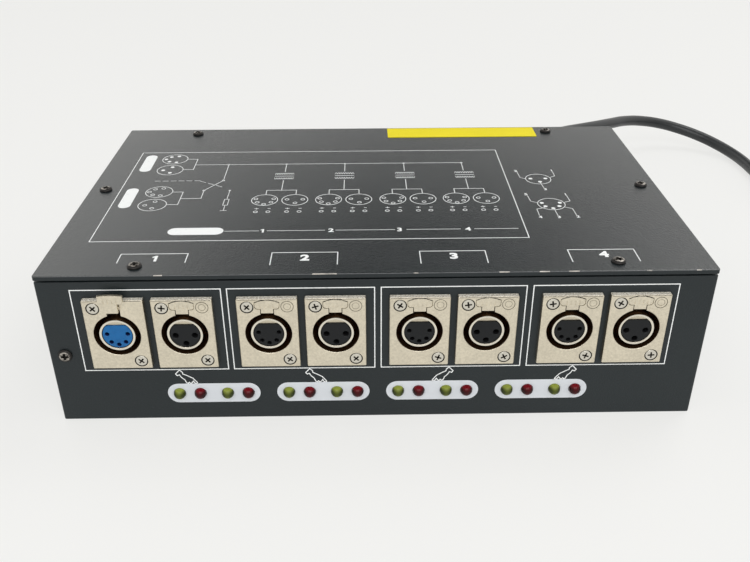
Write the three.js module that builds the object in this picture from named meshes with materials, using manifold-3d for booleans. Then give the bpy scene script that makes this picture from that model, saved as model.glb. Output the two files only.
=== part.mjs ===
// Signal splitter for stage lighting: a folded steel case with eight chassis sockets and four
// groups of indicator lamps on its front face, two inlets and two link sockets on its back face,
// a slide switch, a mains lead and the boards and transformer inside.
// Millimetres, +Z up. The front face looks along -Y and the case stands on z = 0.
// x = 0 and y = 0 are the middle of the whole object without its lead.

import * as THREE from 'three';
import { mergeVertices } from 'three/addons/utils/BufferGeometryUtils.js';
import Module from 'manifold-3d';

const wasm = await Module();
wasm.setup();

// Clearances
const seat_gap = 0.15;
const slide_gap = 0.35;
const cut_overrun = 1.0;

// Case
const case_width = 285.8;
const case_depth = 176.2;
const case_height = 75.9;
const tray_sheet = 1.2;
const cover_sheet = 1.0;
const cover_lip = 2.9;
const cover_side_gap = 0.2;
const tray_rim = 13.0;
const bend_radius = 1.2;
const corner_ease = 0.4;

// Cover screws and the bracket behind the front face
const cover_screw_side_inset = 7.1;
const cover_screw_edge_inset = 6.7;
const screw_head_radius = 3.1;
const screw_head_height = 1.9;
const screw_shank_radius = 1.45;
const screw_length = 6.5;
const bracket_screw_inset = 5.8;
const bracket_screw_height = 35.6;
const bracket_height = 15.0;
const bracket_width = 10.5;
const bracket_depth = 12.0;
const bracket_sheet = 1.5;

// Strip label on the cover
const label_width = 87.0;
const label_depth = 15.0;
const label_thickness = 0.25;
const label_screw_gap = 3.6;

// Chassis connectors: flange, housing and core
const flange_width = 26.0;
const flange_height = 34.75;
const flange_proud = 2.5;
const flange_bevel = 1.2;
const flange_corner = 1.5;
const housing_depth = 24.0;
const housing_wall = 1.6;
const housing_floor = 4.0;
const bore_radius = 10.06;
const core_outer_radius = 8.0;
const insert_radius = 6.3;
const insert_gap = 0.2;
const insert_flat_height = 4.65;
const insert_recess = 0.25;
const contact_depth = 12.0;
const countersink_x = 8.5;
const countersink_y = 13.4;
const countersink_radius = 2.85;
const countersink_depth = 1.4;

// Contacts: three poles and five poles
const pole3_radius = 1.2;
const pole5_radius = 0.95;
const pole_circle_radius = 4.75;
const pole3_rise = 0.6;
const pole5_upper_x = 4.4;
const pole5_upper_y = 0.5;
const pole5_lower_x = 3.1;
const pole5_lower_y = 3.6;

// Inlet connectors on the back
const cup_radius = 9.7;
const cup_depth = 18.0;
const pin_base_thickness = 4.0;
const pin_tip_recess = 3.0;

// Latch of a socket
const tab_half_width = 5.3;
const tab_bottom = 12.0;
const tab_shoulder = 15.6;
const tab_top = 17.1;
const tab_thickness = 1.4;
const tab_pocket_floor = 0.4;
const arm_half_width = 2.6;
const arm_bottom = 10.4;
const arm_thickness = 1.2;
const arm_length = 16.0;
const hook_drop = 1.4;
const hook_length = 2.0;
const latch_well_width = 6.8;
const latch_well_depth = 2.2;
const latch_lift_room = 1.9;
const channel_roof = 1.2;
const slip_up = 4.2;
const slip_forward = 2.0;
const loose_leg_length = 3.3;
const loose_neck_length = 4.4;

// Sockets on the front face: the width that flanges and side screws leave free is shared out
const group_count = 4;
const pair_gap_share = 0.0505;
const group_gap_share = 0.16835;
const socket_drop = 28.65;

// Places across the case, as shares of half its width
const cover_screw_place_share = 0.71868;
const inlet_place_share = 0.76977;
const back_pitch_share = 0.22393;
const switch_place_share = 0.20994;
const transformer_place_share = 0.53184;
const fuse_place_share = 0.82575;
const lead_place_share = 0.83275;

// Connectors and slide switch on the back face
const back_height = 40.0;
const switch_width = 20.0;
const switch_height = 10.0;
const switch_body_depth = 8.0;
const slider_width = 4.8;
const slider_height = 4.6;
const slider_stem = 3.0;
const slider_proud = 2.0;
const slider_travel = 4.0;

// Indicator lamps
const lamp_group_pitch = 49.3;
const lamp_inner_x = 6.17;
const lamp_outer_x = 15.47;
const lamp_height = 14.25;
const lamp_radius = 2.5;
const lamp_barrel_proud = 0.4;
const lamp_board_width = 42.0;
const lamp_board_height = 12.0;
const lamp_board_setback = 6.4;
const lamp_board_thickness = 1.6;
const lamp_hole_gap = 0.25;

// Main board and what stands on it
const post_height = 6.8;
const post_radius = 3.0;
const post_inset = 8.0;
const board_thickness = 1.6;
const board_side_margin = 6.0;
const board_front_margin = 3.0;
const board_back_margin = 46.0;
const isolator_width = 18.0;
const isolator_depth = 12.0;
const isolator_height = 9.0;
const isolator_y = 70.0;
const chip_width = 10.0;
const chip_depth = 6.4;
const chip_height = 3.4;
const chip_y = 45.0;
const fuse_radius = 2.6;
const fuse_length = 20.0;
const fuse_clip_length = 5.0;
const fuse_clip_height = 4.0;
const fuse_inset = 14.0;

// Mains transformer
const core_width = 50.0;
const core_height = 42.0;
const core_stack = 20.0;
const core_window_width = 8.0;
const core_window_height = 25.0;
const core_limb_width = 16.0;
const winding_gap = 0.4;
const winding_overhang = 6.0;
const transformer_inset = 21.0;

// Lead: strain relief, free run, turns and plug
const lead_diameter = 8.0;
const lead_height = 44.0;
const lead_bottom_gap = 0.15;
const relief_collar_radius = 9.0;
const relief_collar_length = 3.0;
const relief_root_radius = 7.4;
const relief_tip_radius = 5.1;
const relief_length = 33.0;
const relief_neck_radius = 6.0;
const relief_nut_radius = 9.0;
const relief_nut_length = 5.0;
const lead_steps = 22;
const coil_outer_radius = 52.5;
const coil_turns = 4.25;
const coil_pitch = 8.8;
const coil_layer_height = 8.9;
const coil_climb_turns = 0.5;
const coil_steps_per_turn = 24;
const coil_sides = 6;
const coil_tail = 25.0;
const plug_length = 36.0;
const plug_width = 27.0;
const plug_corner = 7.0;
const plug_neck_length = 18.0;
const plug_blade_length = 16.0;
const plug_blade_width = 6.3;
const plug_blade_thickness = 1.5;
const plug_blade_spacing = 12.7;
const plug_earth_radius = 2.4;
const plug_earth_drop = 5.5;

// Facets
const bore_sides = 18;
const insert_sides = 14;
const small_sides = 8;
const contact_sides = 6;
const lead_sides = 10;
const corner_steps = 1;

// Places that follow from the sizes
const half_width = case_width / 2;
const screw_side_width = bracket_screw_inset + screw_head_radius + seat_gap * 2;
const spare_width = case_width - (flange_width * group_count + screw_side_width) * 2;
const pair_pitch = flange_width + spare_width * pair_gap_share;
const group_pitch = pair_pitch + flange_width + spare_width * group_gap_share;
const socket_height = case_height - socket_drop;
const cover_screw_x = half_width * cover_screw_place_share;
const label_x = cover_screw_x - screw_head_radius - label_screw_gap - label_width / 2;
const inlet_x = half_width * inlet_place_share;
const back_pitch = half_width * back_pitch_share;
const switch_x = half_width * switch_place_share;
const transformer_x = half_width * transformer_place_share;
const fuse_x = half_width * fuse_place_share;
const lead_x = half_width * lead_place_share;
const tray_top = case_height - cover_sheet - seat_gap;
const front_reach = flange_proud + slip_forward;
const front_y = (front_reach - case_depth - flange_proud) / 2;
const back_y = front_y + case_depth;
const corner_radius = bend_radius + corner_ease;
const inner_half_width = half_width - tray_sheet;
const inner_front_y = front_y + tray_sheet;
const inner_back_y = back_y - tray_sheet;
const board_bottom = tray_sheet + post_height + seat_gap;
const board_top = board_bottom + board_thickness;
const lead_floor_height = lead_diameter / 2 + lead_bottom_gap;

// The lead's run from the strain relief to its turns. The points were chosen along the photographed
// line: it sags from the back of the case, swings out to the right and comes to lie on the floor.
const lead_route = [
  [119.0, 122.4, 44.0],
  [119.0, 135.0, 43.9],
  [120.0, 150.0, 42.8],
  [124.0, 165.0, 40.9],
  [131.5, 179.5, 38.6],
  [142.5, 192.5, 36.2],
  [156.5, 204.5, 33.9],
  [171.0, 216.5, 31.6],
  [186.0, 230.0, 29.0],
  [202.0, 244.0, 26.1],
  [218.5, 253.5, 22.6],
  [235.0, 257.8, 18.9],
  [250.5, 256.6, 14.9],
  [265.0, 250.0, 11.0],
  [276.5, 239.0, 7.6],
  [284.0, 225.5, 5.2],
  [287.2, 211.0, 4.3],
  [287.7, 196.0, 4.15],
  [287.7, 181.0, 4.15],
  [287.7, 166.0, 4.15],
];

// Finishes
const finishes = {
  steel_coat: { color: 0x33393b, roughness: 0.55, metalness: 0.3 },
  nickel: { color: 0xb9b0a0, roughness: 0.35, metalness: 0.9 },
  black_screw: { color: 0x1c1c1c, roughness: 0.45, metalness: 0.6 },
  zinc: { color: 0xa8a9a6, roughness: 0.45, metalness: 0.8 },
  insert_black: { color: 0x17181a, roughness: 0.5, metalness: 0.0 },
  insert_blue: { color: 0x1f5fa8, roughness: 0.45, metalness: 0.0 },
  label: { color: 0xe2c43a, roughness: 0.6, metalness: 0.0 },
  lamp: { color: 0x56682e, roughness: 0.25, metalness: 0.0 },
  board: { color: 0x1f5a35, roughness: 0.5, metalness: 0.0 },
  laminations: { color: 0x6d6f72, roughness: 0.5, metalness: 0.7 },
  tape: { color: 0xb98f2a, roughness: 0.5, metalness: 0.0 },
  fuse_glass: { color: 0xcfd3d2, roughness: 0.2, metalness: 0.4 },
  rubber: { color: 0x161616, roughness: 0.6, metalness: 0.0 },
};

function solidOf(geometry) {
  const bare = geometry.clone();
  bare.deleteAttribute('normal');
  bare.deleteAttribute('uv');
  const merged = mergeVertices(bare);
  const kept = [];
  const index = merged.index.array;
  for (let i = 0; i < index.length; i += 3) {
    const [a, b, c] = [index[i], index[i + 1], index[i + 2]];
    if (a !== b && b !== c && c !== a) {
      kept.push(a, b, c);
    }
  }
  return new wasm.Manifold(new wasm.Mesh({
    numProp: 3,
    vertProperties: new Float32Array(merged.attributes.position.array),
    triVerts: new Uint32Array(kept),
  }));
}

function geometryOf(solid) {
  const mesh = solid.getMesh();
  const geometry = new THREE.BufferGeometry();
  geometry.setAttribute('position', new THREE.BufferAttribute(mesh.vertProperties, 3));
  geometry.setIndex(new THREE.BufferAttribute(mesh.triVerts, 1));
  geometry.computeVertexNormals();
  return geometry;
}

function joined(solids) {
  return solids.reduce((whole, solid) => whole.add(solid));
}

function piece(name, solid, finish) {
  const mesh = new THREE.Mesh(geometryOf(solid), new THREE.MeshStandardMaterial(finishes[finish]));
  mesh.name = name;
  return mesh;
}

// A block from its lowest corner to its highest corner.
function block(low, high) {
  const size = high.map((value, axis) => value - low[axis]);
  const geometry = new THREE.BoxGeometry(...size);
  geometry.translate(...low.map((value, axis) => value + size[axis] / 2));
  return solidOf(geometry);
}

// A round rod along +Z, from one height to another.
function rod(x, y, radius, low, high, sides) {
  const geometry = new THREE.CylinderGeometry(radius, radius, high - low, sides);
  geometry.rotateX(Math.PI / 2);
  geometry.translate(x, y, (low + high) / 2);
  return solidOf(geometry);
}

// A turned body about +Z from [radius, height] points, listed from the bottom to the top.
function turned(profile, sides) {
  const outline = profile.map(([radius, height]) => new THREE.Vector2(radius, height));
  const first = new THREE.Vector2(0, profile[0][1]);
  const last = new THREE.Vector2(0, profile[profile.length - 1][1]);
  const geometry = new THREE.LatheGeometry([first, ...outline, last], sides);
  geometry.rotateX(Math.PI / 2);
  return solidOf(geometry);
}

function roundedRectangle(width, height, radius) {
  const [x, y] = [width / 2, height / 2];
  const shape = new THREE.Shape();
  shape.absarc(x - radius, y - radius, radius, 0, Math.PI / 2, false);
  shape.absarc(radius - x, y - radius, radius, Math.PI / 2, Math.PI, false);
  shape.absarc(radius - x, radius - y, radius, Math.PI, Math.PI * 3 / 2, false);
  shape.absarc(x - radius, radius - y, radius, Math.PI * 3 / 2, Math.PI * 2, false);
  shape.closePath();
  return shape;
}

function extruded(shape, depth, curveSegments = corner_steps) {
  return solidOf(new THREE.ExtrudeGeometry(shape, { depth, curveSegments, bevelEnabled: false }));
}

// A plate on z = 0 whose upper edge is bevelled: the lower bevel is cut away again.
function bevelledPlate(shape, thickness, bevel) {
  const geometry = new THREE.ExtrudeGeometry(shape, {
    depth: thickness,
    curveSegments: corner_steps,
    bevelThickness: bevel,
    bevelSize: bevel,
    bevelOffset: -bevel,
    bevelSegments: 1,
  });
  geometry.translate(0, 0, -bevel);
  geometry.computeBoundingBox();
  const { min, max } = geometry.boundingBox;
  const low = [min.x - cut_overrun, min.y - cut_overrun, min.z - cut_overrun];
  return solidOf(geometry).subtract(block(low, [max.x + cut_overrun, max.y + cut_overrun, 0]));
}

// The front face's four groups: x of the middle of each.
function groupCentre(group, pitch) {
  return (group - (group_count - 1) / 2) * pitch;
}

function lampCentres(group) {
  const middle = groupCentre(group, lamp_group_pitch);
  return [-lamp_outer_x, -lamp_inner_x, lamp_inner_x, lamp_outer_x].map((x) => middle + x);
}

function socketCentres() {
  const centres = [];
  for (let group = 0; group < group_count; group += 1) {
    const middle = groupCentre(group, group_pitch);
    centres.push(middle - pair_pitch / 2, middle + pair_pitch / 2);
  }
  return centres;
}

function backCentres() {
  return [0, 1, 2, 3].map((place) => place * back_pitch - inlet_x);
}

// Connectors are drawn looking at their face: x right, y up, z out of the panel, panel face at z = 0.
const housing_radius = bore_radius + housing_wall;
const arm_top = arm_bottom + arm_thickness;
const channel_top = arm_top + latch_lift_room;
const channel_half_width = latch_well_width / 2;
const housing_box_half_width = channel_half_width + housing_wall;
const housing_box_top = channel_top + channel_roof;

function insertOutline(radius, flatHeight) {
  const edge = Math.asin(flatHeight / radius);
  const shape = new THREE.Shape();
  shape.absarc(0, 0, radius, Math.PI - edge, Math.PI * 2 + edge, false);
  shape.closePath();
  return shape;
}

function polePlaces(poles) {
  if (poles === 3) {
    return [[-pole_circle_radius + pole3_rise, -pole3_rise],
      [pole_circle_radius - pole3_rise, -pole3_rise], [0, -pole_circle_radius]];
  }
  return [[-pole5_upper_x, pole5_upper_y], [pole5_upper_x, pole5_upper_y],
    [-pole5_lower_x, -pole5_lower_y], [pole5_lower_x, -pole5_lower_y], [0, -pole_circle_radius]];
}

function poleRadius(poles) {
  return poles === 3 ? pole3_radius : pole5_radius;
}

function flangePlate() {
  return bevelledPlate(roundedRectangle(flange_width, flange_height, flange_corner),
    flange_proud, flange_bevel);
}

function countersinks() {
  const sink = turned([
    [screw_shank_radius, -cut_overrun],
    [screw_shank_radius, flange_proud - countersink_depth],
    [countersink_radius, flange_proud],
    [countersink_radius, flange_proud + cut_overrun],
  ], small_sides);
  return sink.translate([-countersink_x, countersink_y, 0])
    .add(sink.translate([countersink_x, -countersink_y, 0]));
}

// The part of a housing that passes through the panel, grown by a gap for the panel's hole.
function socketHousing(gap, low, high) {
  const top = housing_box_top + gap;
  const side = housing_box_half_width + gap;
  return rod(0, 0, housing_radius + gap, low, high, bore_sides)
    .add(block([-side, 0, low], [side, top, high]));
}

function inletHousing(gap, low, high) {
  return rod(0, 0, cup_radius + housing_wall + gap, low, high, bore_sides);
}

// A flange without a pocket lets the slipped latch's tab slide over its face.
function socketShell(hasPocket) {
  const face = flange_proud + cut_overrun;
  const groove_floor = housing_floor - housing_depth;
  const body = flangePlate().add(socketHousing(0, -housing_depth, flange_proud / 2));
  const bore = rod(0, 0, bore_radius, groove_floor, face, bore_sides);
  const core = rod(0, 0, core_outer_radius, groove_floor - housing_floor / 2, flange_proud, bore_sides);
  const seat = extruded(insertOutline(insert_radius + insert_gap, insert_flat_height + insert_gap),
    housing_depth + flange_proud + cut_overrun * 2, insert_sides / 2)
    .translate([0, 0, -housing_depth - cut_overrun]);
  const pocket_side = tab_half_width + slide_gap;
  const pocket = block([-pocket_side, tab_bottom - slide_gap, tab_pocket_floor],
    [pocket_side, flange_height, face]);
  const channel_low = arm_bottom - hook_drop;
  const channel = block([-channel_half_width, channel_low, -arm_length],
    [channel_half_width, channel_top, 0]);
  const well = block([-channel_half_width, channel_low, -latch_well_depth],
    [channel_half_width, arm_top + slip_up, face]);
  const opened = body.subtract(bore).subtract(channel).subtract(well);
  const faced = hasPocket ? opened.subtract(pocket) : opened;
  return faced.add(core).subtract(seat).subtract(countersinks());
}

function socketInsert(poles) {
  const face = flange_proud - insert_recess;
  const body = extruded(insertOutline(insert_radius, insert_flat_height), housing_depth + face,
    insert_sides / 2).translate([0, 0, -housing_depth]);
  const holes = polePlaces(poles).map(([x, y]) => rod(x, y, poleRadius(poles), face - contact_depth,
    face + cut_overrun, contact_sides));
  return body.subtract(joined(holes));
}

// The tab lies flush in the flange; its arm runs into the bore and ends in the hook. On the
// latch that has slipped, the neck hangs straight down and a short leg is left of the arm.
function latch(isLoose) {
  const neck_bottom = isLoose ? tab_bottom - loose_neck_length : arm_bottom;
  const arm_reach = isLoose ? loose_leg_length - tab_thickness / 2 : arm_length - tab_thickness;
  const tab_back = flange_proud - tab_thickness;
  const tab = new THREE.Shape();
  tab.moveTo(-tab_half_width, tab_bottom);
  tab.lineTo(tab_half_width, tab_bottom);
  tab.lineTo(tab_half_width, tab_shoulder);
  tab.quadraticCurveTo(tab_half_width, tab_top, 0, tab_top);
  tab.quadraticCurveTo(-tab_half_width, tab_top, -tab_half_width, tab_shoulder);
  tab.closePath();
  const plate = extruded(tab, tab_thickness).translate([0, 0, tab_back]);
  const neck = block([-arm_half_width, neck_bottom, tab_back],
    [arm_half_width, tab_bottom + tab_thickness / 2, flange_proud]);
  const arm = block([-arm_half_width, arm_bottom, tab_back - arm_reach],
    [arm_half_width, arm_top, tab_back + tab_thickness / 2]);
  const solid = plate.add(neck).add(arm);
  if (isLoose) {
    return solid;
  }
  const hook = block([-arm_half_width, arm_bottom - hook_drop, tab_back - arm_reach],
    [arm_half_width, arm_bottom + arm_thickness / 2, tab_back - arm_reach + hook_length]);
  return solid.add(hook);
}

function inletShell() {
  const face = flange_proud + cut_overrun;
  const body = flangePlate().add(inletHousing(0, -housing_depth, flange_proud / 2));
  const cup = rod(0, 0, cup_radius, -cup_depth, face, bore_sides);
  const back = rod(0, 0, insert_radius + insert_gap, -housing_depth - cut_overrun, 0, bore_sides);
  return body.subtract(cup).subtract(back).subtract(countersinks());
}

function inletInsert(poles) {
  const base_low = seat_gap - cup_depth;
  const base_top = base_low + pin_base_thickness;
  const base = rod(0, 0, cup_radius - insert_gap * 2, base_low, base_top, bore_sides);
  const boss = rod(0, 0, insert_radius, -housing_depth, base_top - pin_base_thickness / 2, bore_sides);
  const pins = polePlaces(poles).map(([x, y]) => rod(x, y, poleRadius(poles),
    base_top - pin_base_thickness / 2, flange_proud - pin_tip_recess, contact_sides));
  return joined([base, boss, ...pins]);
}

// A solid that was drawn on a panel's face, turned onto the front face.
function onFront(solid, x, z) {
  return solid.rotate([90, 0, 0]).translate([x, front_y, z]);
}

function onBack(solid, x, z) {
  return solid.rotate([90, 0, 180]).translate([x, back_y, z]);
}

function bracketScrewX() {
  return bracket_screw_inset - half_width;
}

function coverScrewPlaces() {
  const side_x = half_width - cover_screw_side_inset;
  const far_y = case_depth / 2 - cover_screw_edge_inset;
  const middle_y = front_y + case_depth / 2;
  return [[-cover_screw_x, -far_y], [cover_screw_x, -far_y], [side_x, 0],
    [cover_screw_x, far_y], [-cover_screw_x, far_y], [-side_x, 0]]
    .map(([x, y]) => [x, middle_y + y]);
}

function switchSlot(low, high) {
  const side = (slider_width + slider_travel) / 2 + slide_gap;
  return block([-side, -slider_height / 2 - slide_gap, low], [side, slider_height / 2 + slide_gap, high]);
}

function screwHole(x, y, low, high) {
  return rod(x, y, screw_shank_radius + slide_gap, low, high, small_sides);
}

function boardPostPlaces() {
  const x = inner_half_width - board_side_margin - post_inset;
  const front = inner_front_y + board_front_margin + post_inset + lamp_board_setback;
  const back = inner_back_y - board_back_margin - post_inset;
  return [[-x, front], [x, front], [x, back], [-x, back]];
}

function baseTray() {
  const shape = roundedRectangle(case_width, case_depth, corner_radius);
  const body = bevelledPlate(shape, tray_top, bend_radius).rotate([180, 0, 0])
    .translate([0, front_y + case_depth / 2, tray_top]);
  const cavity = block([-inner_half_width, inner_front_y, tray_sheet],
    [inner_half_width, inner_back_y, tray_top - tray_sheet]);
  const opening = block([tray_rim - inner_half_width, inner_front_y + tray_rim, tray_sheet],
    [inner_half_width - tray_rim, inner_back_y - tray_rim, tray_top + cut_overrun]);
  const through = tray_sheet + cut_overrun;
  const holes = socketCentres().map((x) => onFront(
    socketHousing(slide_gap, -through, cut_overrun), x, socket_height));
  for (let group = 0; group < group_count; group += 1) {
    for (const x of lampCentres(group)) {
      const hole = rod(0, 0, lamp_radius + lamp_hole_gap, -through, cut_overrun, small_sides);
      holes.push(onFront(hole, x, lamp_height));
    }
  }
  holes.push(onFront(screwHole(0, 0, -through, cut_overrun), bracketScrewX(), bracket_screw_height));
  backCentres().forEach((x, place) => {
    const housing = place < 2 ? inletHousing : socketHousing;
    holes.push(onBack(housing(slide_gap, -through, cut_overrun), x, back_height));
  });
  holes.push(onBack(switchSlot(-through, cut_overrun), switch_x, back_height));
  holes.push(onBack(rod(0, 0, relief_neck_radius + seat_gap * 2, -through, cut_overrun, bore_sides),
    lead_x, lead_height));
  for (const [x, y] of coverScrewPlaces()) {
    holes.push(screwHole(x, y, tray_top - through, tray_top + cut_overrun));
  }
  const posts = boardPostPlaces().map(([x, y]) => rod(x, y, post_radius, tray_sheet / 2,
    tray_sheet + post_height, small_sides));
  return body.subtract(cavity).subtract(opening).subtract(joined(holes)).add(joined(posts));
}

function topCover() {
  const around = cover_sheet + cover_side_gap;
  const lip_bottom = case_height - cover_lip;
  const middle_y = front_y + case_depth / 2;
  const shape = roundedRectangle(case_width + around * 2, case_depth + around * 2, corner_radius);
  const body = bevelledPlate(shape, cover_lip, bend_radius).translate([0, middle_y, lip_bottom]);
  const half_x = half_width + cover_side_gap;
  const half_y = case_depth / 2 + cover_side_gap;
  const pan = block([-half_x, middle_y - half_y, lip_bottom - cut_overrun],
    [half_x, middle_y + half_y, case_height - cover_sheet]);
  const holes = coverScrewPlaces().map(([x, y]) => screwHole(x, y, lip_bottom - cut_overrun,
    case_height + cut_overrun));
  return body.subtract(pan).subtract(joined(holes));
}

// A pan-head screw standing on z = 0 with its shank below.
function panScrew() {
  const crown = screw_head_radius - screw_head_height / 2;
  return turned([
    [screw_shank_radius, -screw_length],
    [screw_shank_radius, seat_gap],
    [screw_head_radius, seat_gap],
    [screw_head_radius, screw_head_height / 2],
    [crown, screw_head_height],
  ], small_sides);
}

function cornerBracket() {
  const low_x = seat_gap - inner_half_width;
  const low_y = inner_front_y + seat_gap;
  const low_z = bracket_screw_height - bracket_height / 2;
  const high_z = low_z + bracket_height;
  const front = block([low_x, low_y, low_z], [low_x + bracket_width, low_y + bracket_sheet, high_z]);
  const side = block([low_x, low_y, low_z], [low_x + bracket_sheet, low_y + bracket_depth, high_z]);
  const hole = onFront(screwHole(0, 0, -bracket_depth, 0), bracketScrewX(), bracket_screw_height);
  return front.add(side).subtract(hole);
}

function stripLabel() {
  const high_y = back_y - label_thickness;
  return block([label_x - label_width / 2, high_y - label_depth, case_height],
    [label_x + label_width / 2, high_y, case_height + label_thickness]);
}

function mainBoard() {
  const half = inner_half_width - board_side_margin;
  const front = inner_front_y + board_front_margin;
  const board = block([-half, front, board_bottom], [half, inner_back_y - board_back_margin, board_top]);
  const parts = [board];
  for (let group = 0; group < group_count; group += 1) {
    const x = groupCentre(group, lamp_group_pitch);
    const isolator_front = front_y + isolator_y;
    parts.push(block([x - isolator_width / 2, isolator_front, board_bottom + board_thickness / 2],
      [x + isolator_width / 2, isolator_front + isolator_depth, board_top + isolator_height]));
    const chip_front = front_y + chip_y;
    parts.push(block([x - chip_width / 2, chip_front, board_bottom + board_thickness / 2],
      [x + chip_width / 2, chip_front + chip_depth, board_top + chip_height]));
  }
  return joined(parts);
}

function boardFuse() {
  const y = inner_back_y - board_back_margin - fuse_inset;
  const foot = board_top + seat_gap;
  const middle = foot + fuse_clip_height;
  const body = rod(0, 0, fuse_radius, -fuse_length / 2, fuse_length / 2, small_sides)
    .rotate([0, 90, 0]).translate([fuse_x, y, middle]);
  const clips = [-1, 1].map((side) => {
    const x = fuse_x + side * (fuse_length - fuse_clip_length) / 2;
    return block([x - fuse_clip_length / 2, y - fuse_radius - tray_sheet / 2, foot],
      [x + fuse_clip_length / 2, y + fuse_radius + tray_sheet / 2, middle]);
  });
  return joined([body, ...clips]);
}

// A small upright board with four domed lamps that reach through the front face.
function lampBoard(group) {
  const middle = groupCentre(group, lamp_group_pitch);
  const board_back = -lamp_board_setback - lamp_board_thickness;
  const low = board_top + seat_gap - lamp_height;
  const board = block([-lamp_board_width / 2, low, board_back],
    [lamp_board_width / 2, low + lamp_board_height, -lamp_board_setback]);
  const lamp = turned([
    [lamp_radius, board_back / 2 - lamp_board_setback / 2],
    [lamp_radius, lamp_barrel_proud],
    [lamp_radius * Math.cos(Math.PI / 4), lamp_barrel_proud + lamp_radius * Math.sin(Math.PI / 4)],
    [lamp_radius / 4, lamp_barrel_proud + lamp_radius],
  ], small_sides);
  const lamps = lampCentres(group).map((x) => lamp.translate([x - middle, 0, 0]));
  return onFront(joined([board, ...lamps]), middle, lamp_height);
}

function transformerPlace(solid) {
  return solid.translate([transformer_x, inner_back_y - transformer_inset, tray_sheet + seat_gap]);
}

function transformerCore() {
  const [half, stack] = [core_width / 2, core_stack / 2];
  const window_low = (core_height - core_window_height) / 2;
  const limb = core_limb_width / 2;
  const windows = [-1, 1].map((side) => {
    const near = side * limb;
    const far = side * (limb + core_window_width);
    return block([Math.min(near, far), -stack - cut_overrun, window_low],
      [Math.max(near, far), stack + cut_overrun, window_low + core_window_height]);
  });
  return transformerPlace(block([-half, -stack, 0], [half, stack, core_height]).subtract(joined(windows)));
}

function transformerWinding() {
  const limb = core_limb_width / 2 + winding_gap;
  const stack = core_stack / 2 + winding_gap;
  const low = (core_height - core_window_height) / 2 + winding_gap;
  const high = low + core_window_height - winding_gap * 2;
  const side = core_limb_width / 2 + core_window_width - winding_gap;
  const front = core_stack / 2 + winding_overhang;
  const ring = block([-side, -front, low], [side, front, high]);
  return transformerPlace(ring.subtract(block([-limb, -stack, low - cut_overrun],
    [limb, stack, high + cut_overrun])));
}

function switchBody() {
  const face = -tray_sheet - seat_gap;
  const body = block([-switch_width / 2, -switch_height / 2, face - switch_body_depth],
    [switch_width / 2, switch_height / 2, face]);
  return onBack(body.subtract(switchSlot(face - slider_stem - slide_gap, face + cut_overrun)),
    switch_x, back_height);
}

function switchSlider() {
  const middle = -slider_travel / 2;
  const body = block([middle - slider_width / 2, -slider_height / 2, -tray_sheet - seat_gap - slider_stem],
    [middle + slider_width / 2, slider_height / 2, slider_proud]);
  return onBack(body, switch_x, back_height);
}

function strainRelief() {
  const nut_top = -tray_sheet - seat_gap;
  return onBack(turned([
    [relief_nut_radius, nut_top - relief_nut_length],
    [relief_nut_radius, nut_top],
    [relief_neck_radius, nut_top],
    [relief_neck_radius, seat_gap],
    [relief_collar_radius, seat_gap],
    [relief_collar_radius, relief_collar_length],
    [relief_root_radius, relief_collar_length],
    [relief_tip_radius, relief_length],
  ], insert_sides), lead_x, lead_height);
}

function mainsLead() {
  const section = new THREE.Shape();
  section.absarc(0, 0, lead_diameter / 2, 0, Math.PI * 2, false);
  const path = new THREE.CatmullRomCurve3(lead_route.map((point) => new THREE.Vector3(...point)));
  return solidOf(new THREE.ExtrudeGeometry(section, {
    steps: lead_steps,
    curveSegments: lead_sides / 2,
    extrudePath: path,
  }));
}

// The turns wind inwards on the floor, climb one layer where they reverse and wind out again on top.
const coil_start = lead_route[lead_route.length - 1];
const coil_x = coil_start[0] + coil_outer_radius;
const coil_y = coil_start[1] - seat_gap * 2 - lead_diameter;

function coilPoint(turn) {
  const radius = coil_outer_radius - coil_pitch * Math.min(turn, coil_turns - turn);
  const angle = Math.PI + turn * Math.PI * 2;
  const climb = THREE.MathUtils.smoothstep(turn, (coil_turns - coil_climb_turns) / 2,
    (coil_turns + coil_climb_turns) / 2);
  return new THREE.Vector3(coil_x + radius * Math.cos(angle), coil_y + radius * Math.sin(angle),
    lead_floor_height + climb * coil_layer_height);
}

function coilLine() {
  const points = [new THREE.Vector3(coil_start[0], coil_y + lead_diameter, lead_floor_height)];
  const steps = Math.round(coil_turns * coil_steps_per_turn);
  for (let step = 0; step <= steps; step += 1) {
    points.push(coilPoint(step * coil_turns / steps));
  }
  const end = points[points.length - 1];
  points.push(new THREE.Vector3(end.x + coil_tail, end.y, end.z));
  return points;
}

function coilRings(points) {
  const up = new THREE.Vector3(0, 0, 1);
  return points.map((point, place) => {
    const before = points[Math.max(place - 1, 0)];
    const after = points[Math.min(place + 1, points.length - 1)];
    const along = new THREE.Vector3().subVectors(after, before).normalize();
    if (place === 0 || place === 1) {
      along.set(0, -1, 0);
    }
    if (place >= points.length - 2) {
      along.set(1, 0, 0);
    }
    const side = new THREE.Vector3().crossVectors(along, up).normalize();
    const over = new THREE.Vector3().crossVectors(side, along);
    const ring = [];
    for (let corner = 0; corner < coil_sides; corner += 1) {
      const angle = (corner + 1 / 2) * Math.PI * 2 / coil_sides;
      ring.push(point.clone().addScaledVector(side, Math.cos(angle) * lead_diameter / 2)
        .addScaledVector(over, Math.sin(angle) * lead_diameter / 2));
    }
    return ring;
  });
}

function printLeastGap(rings) {
  let least = Infinity;
  const half_turn = coil_steps_per_turn / 2;
  for (let first = 0; first < rings.length; first += 1) {
    for (let second = first + half_turn; second < rings.length; second += 1) {
      for (const a of rings[first]) {
        for (const b of rings[second]) {
          least = Math.min(least, a.distanceTo(b));
        }
      }
    }
  }
  console.log(`lead turns: least gap between corners of neighbouring turns ${least.toFixed(2)} mm`);
}

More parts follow.
